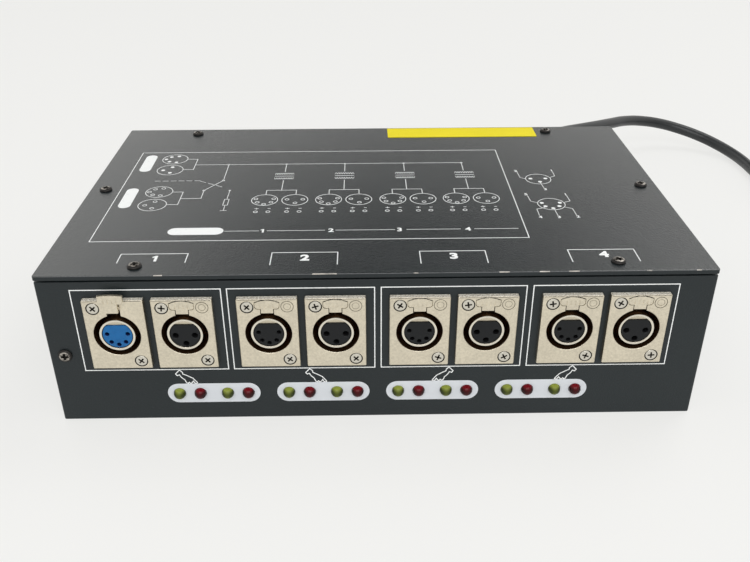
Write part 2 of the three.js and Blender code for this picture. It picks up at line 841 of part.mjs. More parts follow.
function leadCoil() {
  const rings = coilRings(coilLine());
  printLeastGap(rings);
  const positions = [];
  const index = [];
  rings.forEach((ring, place) => {
    ring.forEach((corner) => positions.push(corner.x, corner.y, corner.z));
    if (place > 0) {
      for (let corner = 0; corner < coil_sides; corner += 1) {
        const next = (corner + 1) % coil_sides;
        const [a, b] = [(place - 1) * coil_sides + corner, (place - 1) * coil_sides + next];
        const [c, d] = [place * coil_sides + next, place * coil_sides + corner];
        index.push(a, c, b, a, d, c);
      }
    }
  });
  const last = (rings.length - 1) * coil_sides;
  for (let corner = 1; corner < coil_sides - 1; corner += 1) {
    index.push(0, corner, corner + 1);
    index.push(last, last + corner + 1, last + corner);
  }
  const geometry = new THREE.BufferGeometry();
  geometry.setAttribute('position', new THREE.Float32BufferAttribute(positions, 3));
  geometry.setIndex(index);
  return solidOf(geometry);
}

// A moulded plug that lies beside the turns, its blades pointing along +X.
function mainsPlug() {
  const end = coilLine().pop();
  const neck_start = seat_gap * 2;
  const body_start = neck_start + plug_neck_length;
  const body_end = body_start + plug_length;
  const body_height = (end.z - lead_bottom_gap) * 2;
  const neck = turned([[relief_tip_radius, neck_start], [relief_root_radius, body_start + plug_corner]],
    small_sides);
  const body = bevelledPlate(roundedRectangle(body_height, plug_width, plug_corner),
    plug_length, bend_radius).translate([0, 0, body_start]);
  const blades = [-1, 1].map((side) => {
    const y = side * plug_blade_spacing / 2;
    return block([-plug_blade_width / 2, y - plug_blade_thickness / 2, body_end - bend_radius],
      [plug_blade_width / 2, y + plug_blade_thickness / 2, body_end + plug_blade_length]);
  });
  const earth = rod(plug_earth_drop, 0, plug_earth_radius, body_end - bend_radius,
    body_end + plug_blade_length, contact_sides);
  return joined([neck, body, earth, ...blades]).rotate([0, 90, 0]).translate([end.x, end.y, end.z]);
}

// A connector's pieces stand together in one group, placed and turned as one.
function connector(name, place, pieces) {
  const group = new THREE.Group();
  group.position.set(place.x, place.back ? back_y : front_y, place.z);
  group.rotation.set(Math.PI / 2, 0, place.back ? Math.PI : 0, 'ZYX');
  for (const [part, solid, finish, offset] of pieces) {
    const mesh = piece(`${name}_${part}`, solid, finish);
    mesh.position.set(...offset);
    group.add(mesh);
  }
  return group;
}

const at_seat = [0, 0, 0];
const slipped = [0, slip_up, slip_forward];

function socket(name, place, poles, insert_finish, isLoose) {
  return connector(name, place, [
    ['shell', socketShell(!isLoose), 'nickel', at_seat],
    ['insert', socketInsert(poles), insert_finish, at_seat],
    ['latch', latch(isLoose), 'nickel', isLoose ? slipped : at_seat],
  ]);
}

function inlet(name, place, poles) {
  return connector(name, place, [
    ['shell', inletShell(), 'nickel', at_seat],
    ['insert', inletInsert(poles), 'insert_black', at_seat],
  ]);
}

const splitter = new THREE.Group();
splitter.add(piece('base_tray', baseTray(), 'steel_coat'));
splitter.add(piece('top_cover', topCover(), 'steel_coat'));
coverScrewPlaces().forEach(([x, y], place) => {
  const screw = piece(`cover_screw_${place + 1}`, panScrew(), 'black_screw');
  screw.position.set(x, y, case_height);
  splitter.add(screw);
});
splitter.add(piece('bracket_screw', onFront(panScrew(), bracketScrewX(), bracket_screw_height),
  'black_screw'));
splitter.add(piece('corner_bracket', cornerBracket(), 'zinc'));
splitter.add(piece('strip_label', stripLabel(), 'label'));

socketCentres().forEach((x, place) => {
  const poles = place % 2 === 0 ? 5 : 3;
  const insert_finish = place === 0 ? 'insert_blue' : 'insert_black';
  splitter.add(socket(`socket_${place + 1}`, { x, z: socket_height, back: false }, poles,
    insert_finish, place === 0));
});

const [inlet5_x, inlet3_x, link5_x, link3_x] = backCentres();
splitter.add(inlet('inlet_5pin', { x: inlet5_x, z: back_height, back: true }, 5));
splitter.add(inlet('inlet_3pin', { x: inlet3_x, z: back_height, back: true }, 3));
splitter.add(socket('link_5pin', { x: link5_x, z: back_height, back: true }, 5, 'insert_black', false));
splitter.add(socket('link_3pin', { x: link3_x, z: back_height, back: true }, 3, 'insert_black', false));

splitter.add(piece('mode_switch_body', switchBody(), 'insert_black'));
splitter.add(piece('mode_switch_slider', switchSlider(), 'insert_black'));
splitter.add(piece('main_board', mainBoard(), 'board'));
splitter.add(piece('board_fuse', boardFuse(), 'fuse_glass'));
for (let group = 0; group < group_count; group += 1) {
  splitter.add(piece(`lamp_board_${group + 1}`, lampBoard(group), 'lamp'));
}
splitter.add(piece('transformer_core', transformerCore(), 'laminations'));
splitter.add(piece('transformer_winding', transformerWinding(), 'tape'));
splitter.add(piece('strain_relief', strainRelief(), 'rubber'));
splitter.add(piece('mains_lead', mainsLead(), 'rubber'));
splitter.add(piece('lead_coil', leadCoil(), 'rubber'));
splitter.add(piece('mains_plug', mainsPlug(), 'rubber'));

export default splitter;
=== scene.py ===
# %% [markdown]
# # A signal splitter for stage lighting
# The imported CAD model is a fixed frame. This lesson dresses it: powder-coated folded steel,
# die-cast nickel sockets, moulded inserts, screen print, lamps and a black mains lead.
# Everything is in metres in the frame's own axes. Small shapes are drawn in millimetres, looking
# straight at the panel that carries them, and one matrix takes them to their place.

# %% Load the frame
import math
import random

import bmesh
import bpy
from mathutils import Matrix, Quaternion, Vector


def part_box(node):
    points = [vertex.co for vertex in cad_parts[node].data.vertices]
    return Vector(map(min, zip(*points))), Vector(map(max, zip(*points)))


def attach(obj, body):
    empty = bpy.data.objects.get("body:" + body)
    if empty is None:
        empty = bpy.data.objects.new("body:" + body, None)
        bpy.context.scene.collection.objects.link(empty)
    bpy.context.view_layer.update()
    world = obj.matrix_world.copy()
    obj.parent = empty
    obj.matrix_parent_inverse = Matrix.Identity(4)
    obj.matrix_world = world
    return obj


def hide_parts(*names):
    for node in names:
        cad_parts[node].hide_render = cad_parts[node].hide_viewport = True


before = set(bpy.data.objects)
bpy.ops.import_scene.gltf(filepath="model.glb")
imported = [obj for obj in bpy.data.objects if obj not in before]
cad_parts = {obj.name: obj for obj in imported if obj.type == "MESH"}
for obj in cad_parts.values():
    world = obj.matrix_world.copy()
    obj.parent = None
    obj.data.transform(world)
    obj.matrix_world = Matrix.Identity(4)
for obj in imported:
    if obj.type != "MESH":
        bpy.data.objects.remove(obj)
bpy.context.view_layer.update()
scene = bpy.context.scene
MM = 0.001


def put(name, data):
    obj = bpy.data.objects.new(name, data)
    scene.collection.objects.link(obj)
    return obj


def middle_of(node):
    low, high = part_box(node)
    return [(low[i] + high[i]) / 2 for i in range(3)]


def size_of(node):
    """The box of a node, in millimetres."""
    low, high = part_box(node)
    return [(high[i] - low[i]) / MM for i in range(3)]


# %% [markdown]
# ## The camera
# The photograph was taken from above the front edge with a short phone lens. The place, turn and
# focal length were worked out from the corners of the case and of the socket flanges.

# %% Camera
PHOTO_WIDTH = 750
FOCAL_PIXELS = 842.53
SENSOR_WIDTH = 36.0
camera_place = Vector((-0.005539, -0.394384, 0.246616))
camera_turn = Vector((0.5180, -0.0150, -0.0072))


def camera_matrix(place, turn):
    level = Matrix(((1, 0, 0), (0, 0, -1), (0, 1, 0)))
    right, down, ahead = Quaternion(turn.normalized(), turn.length).to_matrix() @ level
    matrix = Matrix((right, -down, -ahead)).transposed().to_4x4()
    matrix.translation = place
    return matrix


camera_data = bpy.data.cameras.new("camera")
camera_data.sensor_width = SENSOR_WIDTH
camera_data.lens = FOCAL_PIXELS / PHOTO_WIDTH * SENSOR_WIDTH
camera_data.clip_start = 0.01
camera = put("camera", camera_data)
camera.matrix_world = camera_matrix(camera_place, camera_turn)
scene.camera = camera
print("lens", round(camera_data.lens, 2))

# %% [markdown]
# ## Materials from expressions
# Shader maths reads best as ordinary maths. `Wire` wraps an output socket, so that sums and
# products of wires add Math nodes, and `Finish` owns one material and adds any other node. Most
# pieces need no more than `plain_finish`: one colour, with noise in its roughness, its relief, or
# both.

# %% Wires and finishes
class Wire:
    """An output socket that can stand in Python expressions."""

    def __init__(self, tree, socket):
        self.tree = tree
        self.socket = socket

    def maths(self, operation, other=None, flipped=False):
        node = self.tree.nodes.new("ShaderNodeMath")
        node.operation = operation
        values = [self] if other is None else [self, other]
        for place, value in enumerate(reversed(values) if flipped else values):
            plug(self.tree, node.inputs[place], value)
        return Wire(self.tree, node.outputs[0])

    def __add__(self, other):
        return self.maths("ADD", other)

    def __sub__(self, other):
        return self.maths("SUBTRACT", other)

    def __rsub__(self, other):
        return self.maths("SUBTRACT", other, flipped=True)

    def __mul__(self, other):
        return self.maths("MULTIPLY", other)

    def __truediv__(self, other):
        return self.maths("DIVIDE", other)

    def __abs__(self):
        return self.maths("ABSOLUTE")

    def highest(self, other):
        return self.maths("MAXIMUM", other)

    __radd__ = __add__
    __rmul__ = __mul__


def plug(tree, socket, value):
    if isinstance(value, Wire):
        tree.links.new(value.socket, socket)
    else:
        socket.default_value = value


class Finish:
    """One material: its shader's constants, and the nodes that vary it."""

    def __init__(self, name, color, roughness, metallic=0.0, **constants):
        self.material = bpy.data.materials.new(name)
        self.material.use_nodes = True
        self.tree = self.material.node_tree
        self.shader = self.tree.nodes["Principled BSDF"]
        self.set("Base Color", (*color, 1.0))
        self.set("Roughness", roughness)
        self.set("Metallic", metallic)
        for title, value in constants.items():
            self.set(title.replace("_", " "), value)

    def set(self, title, value):
        plug(self.tree, self.shader.inputs[title], value)

    def node(self, kind, settings=None, inputs=None, output=0):
        node = self.tree.nodes.new(kind)
        for title, value in (settings or {}).items():
            setattr(node, title, value)
        for title, value in (inputs or {}).items():
            plug(self.tree, node.inputs[title], value)
        return Wire(self.tree, node.outputs[output])

    def place(self):
        return self.node("ShaderNodeTexCoord", output=3)

    def axis(self, name, vector=None):
        return self.node("ShaderNodeSeparateXYZ", inputs={"Vector": vector or self.place()},
                         output="XYZ".index(name))

    def noise(self, scale, detail=3.0, rough=0.55, stretch=(1, 1, 1)):
        spot = self.node("ShaderNodeVectorMath", {"operation": "MULTIPLY"},
                         {0: self.place(), 1: stretch})
        return self.node("ShaderNodeTexNoise", None,
                         {"Vector": spot, "Scale": scale, "Detail": detail, "Roughness": rough})

    def ramp(self, value, low, high):
        return self.node("ShaderNodeMapRange", {"clamp": True},
                         {0: value, 1: low, 2: high, 3: 0.0, 4: 1.0})

    def mix(self, share, first, second):
        node = self.tree.nodes.new("ShaderNodeMix")
        node.data_type = "RGBA"
        plug(self.tree, node.inputs[0], share)
        for place, color in ((6, first), (7, second)):
            plug(self.tree, node.inputs[place], color if isinstance(color, Wire) else (*color, 1.0))
        return Wire(self.tree, node.outputs[2])

    def two_tone(self, value, low, high, first, second):
        self.set("Base Color", self.mix(self.ramp(value, low, high), first, second))

    def bump(self, height, strength, distance):
        inputs = {"Height": height, "Strength": strength, "Distance": distance}
        self.set("Normal", self.node("ShaderNodeBump", inputs=inputs))


def plain_finish(name, color, rough, metallic=0.0, cloud=None, grain=None, **constants):
    """One colour, with cloud = (scale, lowest, reach) in roughness and grain in relief."""
    finish = Finish(name, color, rough, metallic, **constants)
    if cloud:
        scale, lowest, reach = cloud
        finish.set("Roughness", lowest + finish.noise(scale) * reach)
    if grain:
        scale, detail, strength, distance = grain
        finish.bump(finish.noise(scale, detail), strength, distance)
    return finish


# %% [markdown]
# ## The mains lead
# The lead leaves the back of the case through its strain relief, sags to the table while it swings
# out to the right, and the length that the photograph doesn't show is wound beside the view. A
# smooth curve through listed points gives the free run, and a loop works out the turns.

# %% The lead's route
LEAD_DIAMETER = 8.0
lead_points = [
    (119.0, 109.0, 44.0), (119.0, 122.4, 44.0), (119.0, 135.0, 43.9), (120.0, 150.0, 42.8),
    (124.0, 165.0, 40.9), (131.5, 179.5, 38.6), (142.5, 192.5, 36.2), (156.5, 204.5, 33.9),
    (171.0, 216.5, 31.6), (186.0, 230.0, 29.0), (202.0, 244.0, 26.1), (218.5, 253.5, 22.6),
    (235.0, 257.45, 18.9), (250.5, 256.3, 14.9), (265.0, 250.0, 11.0), (276.5, 239.0, 7.6),
    (284.0, 225.5, 5.2), (287.2, 211.0, 4.3), (287.7, 196.0, 4.15), (287.7, 181.0, 4.15),
    (287.7, 166.0, 4.15),
]
COIL_RADIUS = 52.5
COIL_TURNS = 4.25
COIL_PITCH = 8.8
COIL_LAYER = 8.9
COIL_CLIMB = 0.5
COIL_STEPS = 24
COIL_TAIL = 25.0
COIL_GAP = 0.3
CURVE_STEPS = 6


def coil_points(start):
    centre_x = start[0] + COIL_RADIUS
    centre_y = start[1] - COIL_GAP - LEAD_DIAMETER
    points = []
    steps = round(COIL_TURNS * COIL_STEPS)
    for step in range(steps + 1):
        turn = step * COIL_TURNS / steps
        radius = COIL_RADIUS - COIL_PITCH * min(turn, COIL_TURNS - turn)
        angle = math.pi + turn * math.tau
        rise = min(max((turn - (COIL_TURNS - COIL_CLIMB) / 2) / COIL_CLIMB, 0), 1)
        rise = rise * rise * (3 - 2 * rise)
        points.append((centre_x + radius * math.cos(angle), centre_y + radius * math.sin(angle),
                       start[2] + rise * COIL_LAYER))
    end_x, end_y, end_z = points[-1]
    return points + [(end_x + COIL_TAIL / 2, end_y, end_z), (end_x + COIL_TAIL, end_y, end_z)]


def lead_curve(name, points, diameter):
    curve = bpy.data.curves.new(name, "CURVE")
    curve.dimensions = "3D"
    spline = curve.splines.new("BEZIER")
    spline.bezier_points.add(len(points) - 1)
    for knot, point in zip(spline.bezier_points, points):
        knot.co = Vector(point) * MM
        knot.handle_left_type = knot.handle_right_type = "AUTO"
    curve.bevel_depth = diameter / 2 * MM
    curve.bevel_resolution = spline.resolution_u = CURVE_STEPS
    curve.use_fill_caps = True
    return put(name, curve)


coil_line = coil_points(lead_points[-1])
lead = lead_curve("mains_lead_jacket", lead_points + coil_line, LEAD_DIAMETER)
print("lead points", len(lead_points), "turn points", len(coil_line))

# %% Jacket material
jacket = Finish("black_lead_jacket", (0.010, 0.012, 0.013), 0.36)
smear = jacket.noise(60, 3)
grain = jacket.noise(1400, 2)
jacket.set("Roughness", 0.26 + smear * 0.2)
jacket.two_tone(smear, 0.35, 0.75, (0.008, 0.010, 0.011), (0.020, 0.023, 0.025))
jacket.bump(grain + smear * 2.0, 0.25, 0.0002)
lead.data.materials.append(jacket.material)
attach(lead, "case")
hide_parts("mains_lead", "lead_coil")

# %% [markdown]
# ## Drawing tools
# A shape on a panel is a stack of outlines, each at its own height, skinned and capped. Turned
# parts are stacks of circles. What these can't give, such as a bore through a flange, is cut with
# an exact boolean, once, in millimetres, and the finished mesh is copied to every place.

# %% Outlines and stacks
ROUND_STEPS = 40
BORE_STEPS = 64
HOUSING_STEPS = 56
PIN_STEPS = 24


def circle(radius, steps, x=0.0, y=0.0):
    return [(x + radius * math.cos(math.tau * i / steps),
             y + radius * math.sin(math.tau * i / steps)) for i in range(steps)]


def corners(left, low, right, high):
    return [(left, low), (right, low), (right, high), (left, high)]


def rounded(width, height, radius, inset=0.0, steps=6):
    corner = max(radius - inset, 0.05)
    half_x, half_y = width / 2 - inset - corner, height / 2 - inset - corner
    points = []
    for quarter, (sx, sy) in enumerate(((1, 1), (-1, 1), (-1, -1), (1, -1))):
        for step in range(steps + 1):
            angle = (quarter + step / steps) * math.pi / 2
            points.append((sx * half_x + corner * math.cos(angle),
                           sy * half_y + corner * math.sin(angle)))
    return points


def shifted(outline, x, y):
    return [(x + px, y + py) for px, py in outline]


def rounded_rows(width, height, radius, rows, steps=6):
    """Layers of one rounded rectangle: each row gives its inset and its height."""
    return [(rounded(width, height, radius, inset, steps), level) for inset, level in rows]


def stack(layers, looped=False):
    """A closed bmesh skinned over (outline, height) layers of equal point counts."""
    mesh = bmesh.new()
    rows = [[mesh.verts.new((x, y, height)) for x, y in outline] for outline, height in layers]
    pairs = list(zip(rows, rows[1:])) + ([(rows[-1], rows[0])] if looped else [])
    for lower, upper in pairs:
        for i, corner in enumerate(lower):
            j = (i + 1) % len(lower)
            mesh.faces.new((corner, lower[j], upper[j], upper[i]))
    if not looped:
        mesh.faces.new(list(reversed(rows[0])))
        mesh.faces.new(rows[-1])
    bmesh.ops.recalc_face_normals(mesh, faces=mesh.faces)
    return mesh


def prism(outline, low, high):
    return stack([(outline, low), (outline, high)])


def turned(profile, steps=ROUND_STEPS, x=0.0, y=0.0, looped=False):
    return stack([(circle(radius, steps, x, y), height) for radius, height in profile], looped)


def slab(low, high):
    return prism(corners(*low[:2], *high[:2]), low[2], high[2])


def together(*meshes):
    whole = bmesh.new()
    for mesh in meshes:
        data = bpy.data.meshes.new("shape")
        mesh.to_mesh(data)
        whole.from_mesh(data)
        bpy.data.meshes.remove(data)
    return whole


def temporary(mesh):
    data = bpy.data.meshes.new("cutting")
    mesh.to_mesh(data)
    return put("cutting", data)


def settled(obj):
    """A bmesh of an object's shape after its modifiers."""
    ready = obj.evaluated_get(bpy.context.evaluated_depsgraph_get())
    mesh = bmesh.new()
    mesh.from_mesh(ready.to_mesh())
    ready.to_mesh_clear()
    return mesh


def carved(body, tools, operation="DIFFERENCE"):
    """The body cut by, or joined with, each tool in turn."""
    target = temporary(body)
    cutters = [temporary(tool) for tool in tools]
    for cutter in cutters:
        step = target.modifiers.new("step", "BOOLEAN")
        step.operation = operation
        step.solver = "EXACT"
        step.object = cutter
    result = settled(target)
    for obj in cutters + [target]:
        data = obj.data
        bpy.data.objects.remove(obj)
        bpy.data.meshes.remove(data)
    return result


# %% Places on the panels
FRONT_Y, BACK_Y = (edge[1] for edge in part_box("base_tray"))
cover_low, cover_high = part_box("top_cover")
COVER_TOP = cover_high[2]
UPRIGHT = ((MM, 0, 0), (0, 0, -MM), (0, MM, 0))
REVERSED = ((-MM, 0, 0), (0, 0, MM), (0, MM, 0))
LYING = ((MM, 0, 0), (0, MM, 0), (0, 0, MM))


def panel(axes, x, y, z):
    return Matrix.Translation((x, y, z)) @ Matrix(axes).to_4x4()


def on_front(x, z):
    return panel(UPRIGHT, x, FRONT_Y, z)


def on_back(x, z):
    return panel(REVERSED, x, BACK_Y, z)


def on_top(x, y):
    return panel(LYING, x, y, COVER_TOP)


SHARP_ANGLE = 32


def add(name, mesh, matrix, finishes, choose=None, body="case", replaces=None):
    """A piece from a copy of a drawn mesh: placed, shaded, and riding on its body."""
    shape = mesh.copy()
    if choose:
        for face in shape.faces:
            face.material_index = choose(face)
    shape.transform(matrix)
    if matrix.determinant() < 0:
        bmesh.ops.reverse_faces(shape, faces=shape.faces)
    data = bpy.data.meshes.new(name)
    shape.to_mesh(data)
    shape.free()
    for finish in finishes:
        data.materials.append(finish.material)
    data.shade_smooth()
    data.set_sharp_from_angle(angle=math.radians(SHARP_ANGLE))
    obj = put(name, data)
    flat = obj.modifiers.new("flat_faces", "WEIGHTED_NORMAL")
    flat.keep_sharp = True
    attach(obj, body)
    if replaces:
        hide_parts(replaces)
    return obj


print("front face", round(FRONT_Y, 4), "back face", round(BACK_Y, 4), "cover", round(COVER_TOP, 4))

# %% [markdown]
# ## The case
# Folded steel under a satin charcoal powder coat: a fine orange-peel skin, faint smears from
# handling, and bare metal where the cover's front edge has been knocked. The knocks are a mask of
# short bands along the edge, broken up by noise.

# %% Coat materials
def powder_coat(name, gloss, rough):
    coat = Finish(name, (0.013, 0.019, 0.021), rough, Specular_IOR_Level=gloss)
    cloud = coat.noise(14, 4)
    speck = coat.noise(1300, 2, 0.6)
    peel = coat.noise(1100, 3, 0.65)
    tone = coat.mix(coat.ramp(cloud, 0.3, 0.75), (0.0085, 0.013, 0.0148), (0.013, 0.0185, 0.0208))
    dust = coat.ramp(speck, 0.66, 0.8) * 0.15
    coat.set("Base Color", coat.mix(dust, tone, (0.10, 0.105, 0.105)))
    coat.set("Roughness", rough - 0.06 + cloud * 0.12)
    coat.bump(peel, 0.4, 0.0003)
    return coat, tone


tray_coat, _ = powder_coat("charcoal_coat_tray", 0.35, 0.40)
cover_coat, cover_tone = powder_coat("charcoal_coat_cover", 1.0, 0.21)
cover_coat.set("IOR", 1.57)
EDGE_KNOCKS = ((-91.4, 2.2), (-22.1, 6.2), (16.0, 1.2), (53.0, 2.6), (69.8, 2.6), (82.2, 2.6),
               (113.8, 1.4), (134.6, 1.2))
bare_x, bare_y, bare_z = (cover_coat.axis(name) for name in "XYZ")
chips = cover_coat.noise(600, 4, 0.7, stretch=(0.35, 1, 1))
worn = None
for middle, half in EDGE_KNOCKS:
    band = cover_coat.ramp(abs(bare_x - middle * MM), (half + 0.6) * MM, half * 0.8 * MM)
    worn = band if worn is None else worn.highest(band)
off_edge = abs(bare_y - cover_low[1]) + abs(bare_z - COVER_TOP)
edge_band = cover_coat.ramp(off_edge, 0.6 * MM, 0.35 * MM)
bare = cover_coat.ramp(worn * edge_band + chips * 0.9, 1.3, 1.5)
cover_coat.set("Base Color", cover_coat.mix(bare, cover_tone, (0.50, 0.46, 0.41)))

# %% Cover and tray
COVER_BEND = 0.35
COVER_CORNER = 1.2
COVER_SHEET = 1.0
COVER_EDGE = 2.2
COVER_SIDE_IN = 0.4
EDGE_ROUND = 0.15
TRAY_SHEET = 1.2
TRAY_RIM = 13.0
TRAY_BEND = 0.6
TRAY_FOOT_BEND = 0.5
SEAM_HIGH = 1.2
SEAM_DEEP = 2.2
TRAY_CORNER = 1.0
TRAY_SIDE_OUT = 1.1
TRAY_DROP = 0.1
width, depth, _ = size_of("top_cover")
width -= 2 * COVER_SIDE_IN


def bend(radius, base, way=1, steps=5):
    """Insets and heights of a folded edge, from the side face to the flat."""
    angles = [step / steps * math.pi / 2 for step in range(steps + 1)]
    return [(radius * (1 - math.cos(angle)), base + way * radius * math.sin(angle))
            for angle in angles]


cover_rows = [(COVER_SHEET, COVER_EDGE - COVER_SHEET), (COVER_SHEET, 0.0),
              (EDGE_ROUND, 0.0), (0.0, EDGE_ROUND)]
cover_rows += bend(COVER_BEND, COVER_EDGE - COVER_BEND)
cover_shape = stack(rounded_rows(width, depth, COVER_CORNER, cover_rows))
case_middle = (FRONT_Y + BACK_Y) / 2
add("cover_shell", cover_shape, panel(LYING, 0, case_middle, COVER_TOP - COVER_EDGE * MM),
    [cover_coat, tray_coat], replaces="top_cover",
    choose=lambda face: 1 if abs(face.normal.z) < 0.1 else 0)

tray_width, tray_depth, _ = size_of("base_tray")
tray_width += 2 * TRAY_SIDE_OUT
tray_height = COVER_TOP / MM - COVER_EDGE - TRAY_DROP
tray_rows = [(TRAY_SHEET, TRAY_SHEET), (TRAY_SHEET, tray_height - TRAY_SHEET),
             (TRAY_RIM, tray_height - TRAY_SHEET), (TRAY_RIM, tray_height),
             (SEAM_DEEP, tray_height), (SEAM_DEEP, tray_height - SEAM_HIGH)]
tray_rows += reversed(bend(TRAY_BEND, tray_height - SEAM_HIGH - TRAY_BEND))
tray_rows += bend(TRAY_FOOT_BEND, TRAY_FOOT_BEND, -1)
tray_shape = stack(rounded_rows(tray_width, tray_depth, TRAY_CORNER, tray_rows))

# %% [markdown]
# ## Where the connectors and lamps sit
# Their places come from the frame's own nodes, so the holes in the tray, the print round them and
# the dressed pieces all agree.

# %% Places of connectors and lamps
def on_panel(node):
    """Where a node of the front or back face sits: its middle in x and z."""
    x, _, z = middle_of(node)
    return x, z


SOCKETS = [f"socket_{number}" for number in range(1, 9)]
LINKS = ["link_5pin", "link_3pin"]
INLETS = ["inlet_5pin", "inlet_3pin"]
places = {name: on_front(*on_panel(f"{name}_shell")) for name in SOCKETS}
places.update({name: on_back(*on_panel(f"{name}_shell")) for name in LINKS + INLETS})
lamp_boards = [f"lamp_board_{number}" for number in range(1, 5)]
LAMP_OFFSETS = (-15.47, -6.17, 6.17, 15.47)
LAMP_HEIGHT = 14.25
LAMP_RADIUS = 2.72
lamp_places = [(middle_of(board)[0] + offset * MM, LAMP_HEIGHT * MM)
               for board in lamp_boards for offset in LAMP_OFFSETS]
relief_place = on_panel("strain_relief")
print("connectors", len(places), "lamps", len(lamp_places))

# %% Holes in the tray
THROUGH = 3.0
HOUSING_HOLE = 12.0
LATCH_SLOT_HALF = 5.8
LATCH_SLOT_TOP = 16.9
LAMP_HOLE = 2.85
LAMP_STEPS = 32
NECK_HOLE = 6.3
SWITCH_HALF_X = 4.75
SWITCH_HALF_Z = 2.65


def hole(radius, steps=ROUND_STEPS):
    return turned([(radius, -THROUGH), (radius, THROUGH)], steps)


def moved(mesh, matrix):
    shape = mesh.copy()
    shape.transform(matrix)
    return shape


tray_shape.transform(panel(LYING, 0, case_middle, 0))
holes = []
latch_slot = slab((-LATCH_SLOT_HALF, 0, -THROUGH), (LATCH_SLOT_HALF, LATCH_SLOT_TOP, THROUGH))
switch_slot = slab((-SWITCH_HALF_X, -SWITCH_HALF_Z, -THROUGH),
                   (SWITCH_HALF_X, SWITCH_HALF_Z, THROUGH))
for name, place in places.items():
    opening = hole(HOUSING_HOLE)
    if name not in INLETS:
        opening = carved(opening, [latch_slot], "UNION")
    holes.append(moved(opening, place))
holes += [moved(hole(LAMP_HOLE, LAMP_STEPS), on_front(x, z)) for x, z in lamp_places]
holes.append(moved(switch_slot, on_back(*on_panel("mode_switch_body"))))
holes.append(moved(hole(NECK_HOLE), on_back(*relief_place)))
bmesh.ops.recalc_face_normals(tray_shape, faces=tray_shape.faces)
all_holes = together(*holes)
bmesh.ops.recalc_face_normals(all_holes, faces=all_holes.faces)
tray = add("tray_shell", carved(tray_shape, [all_holes]), Matrix.Identity(4),
           [tray_coat], replaces="base_tray")
print("tray faces", len(tray.data.polygons), "holes", len(holes))

# %% [markdown]
# ## Socket shells
# Each socket is a zinc die casting with a satin nickel plate, warm in colour and slightly grainy.
# The flange is a sharp plate whose rim keeps the rougher skin of the mould: pale specks and bright
# nicks, which along the top are also a painted highlight where light falls on it. Inside the bore
# the walls are in shadow and look almost black-brown, so they get painted shade, a dark finish of
# their own. Darker copies of the nickel are painted shade on the sunk land, the ring's inner cone,
# the engraved rings and the flange's left and right sides, and near black is painted shade in the
# screw sinks and the gap round the tab. Each face's finish is chosen by where the face lies.

# %% Nickel and bore materials
def cast_nickel(name, color):
    nickel = Finish(name, color, 0.36, 1.0)
    cloud = nickel.noise(90, 3)
    cast = nickel.noise(1900, 4, 0.65)
    grit = nickel.ramp(nickel.noise(1100, 3, 0.7), 0.38, 0.62)
    tone = nickel.mix(nickel.ramp(cloud, 0.3, 0.7), tuple(0.9 * c for c in color), color)
    nickel.set("Base Color", nickel.mix(grit * 0.4, tone, tuple(0.62 * c for c in color)))
    nickel.set("Roughness", 0.34 + cast * 0.16)
    nickel.bump(cast, 0.6, 0.0003)
    return nickel


nickel = cast_nickel("satin_nickel_casting", (0.79, 0.72, 0.575))
bright = plain_finish("bright_nickel_ring", (0.78, 0.73, 0.62), 0.26, 1.0,
                      grain=(700, 2, 0.1, 0.0002))
# Top rim: rough cast skin with bright nicks, and also a painted highlight, pale and hardly
# metallic, where light falls from above.
rim_wear_and_highlight = Finish("cast_rim_skin_and_highlight", (0.85, 0.80, 0.68), 0.45, 0.1)
rim_grain = rim_wear_and_highlight.noise(1500, 4, 0.7)
rim_wear_and_highlight.two_tone(rim_grain, 0.42, 0.6, (0.50, 0.45, 0.36), (1.0, 0.97, 0.88))
rim_wear_and_highlight.set("Roughness", 0.35 + rim_grain * 0.3)
rim_wear_and_highlight.bump(rim_grain, 0.8, 0.0004)
# Painted shade: a dark copy of the nickel for the ring's inner cone and the engraved rings.
painted_shade_cone = plain_finish("painted_shade_nickel_cone", (0.22, 0.19, 0.14), 0.4, 1.0,
                          cloud=(700, 0.34, 0.16))
# Painted shade: a darker copy of the nickel for the sunk land and the flange's left and right
# sides.
painted_shade_land = plain_finish("painted_shade_land", (0.60, 0.54, 0.42), 0.34, 1.0,
                           grain=(900, 3, 0.3, 0.0002))
# Bore walls: painted shade, a dark brown copy of the nickel for walls that lie in shadow.
painted_shade_bore = plain_finish("painted_shade_bore", (0.20, 0.105, 0.050), 0.3, 0.9, cloud=(300, 0.24, 0.16))
# Painted shade: near black, for the screw sinks, the gap round the tab and the tab's upper edges.
painted_shade_gap = plain_finish("painted_gap_shade", (0.010, 0.008, 0.006), 0.6, cloud=(300, 0.5, 0.2))

# %% The shell, cut once
FLANGE_W = 26.0
FLANGE_H = 34.75
FLANGE_T = 2.5
FLANGE_CORNER = 0.55
FLANGE_BEVEL = 0.35
BORE = 10.06
RING_OUT = 7.75
RING_IN = 6.5
BORE_FLOOR = -20.0
HOUSING_END = -24.0
KEY_FLAT = 4.85
SCREW_SPOTS = ((-8.5, 13.4), (8.5, -13.4))
DISC_SPOT = (8.6, 13.6)
TAB_HALF = 5.3
TAB_BOTTOM = 12.4
TAB_SHOULDER = 15.5
TAB_TOP = 16.7
TAB_CORNER = 1.4
TAB_GAP = 0.08
TAB_TOP_GAP = 0.42
POCKET_FLOOR = 0.4
WELL_HALF = 2.95
WELL_LOW = 8.6
WELL_HIGH = TAB_BOTTOM + 3.8
WELL_FLOOR = -2.2
HOUSING_WALL = 1.6
BORE_CHAMFER = 0.3
CLEAR = 2.0
SINK_PROFILE = [(1.7, -1.0), (1.7, 1.0), (2.9, 2.1), (2.95, 3.5)]
DISC_RINGS = ((2.65, 0.27, 0.25), (1.5, 0.18, 0.15))
LAND_TOP = FLANGE_T - 0.9
LAND_STEPS = 14


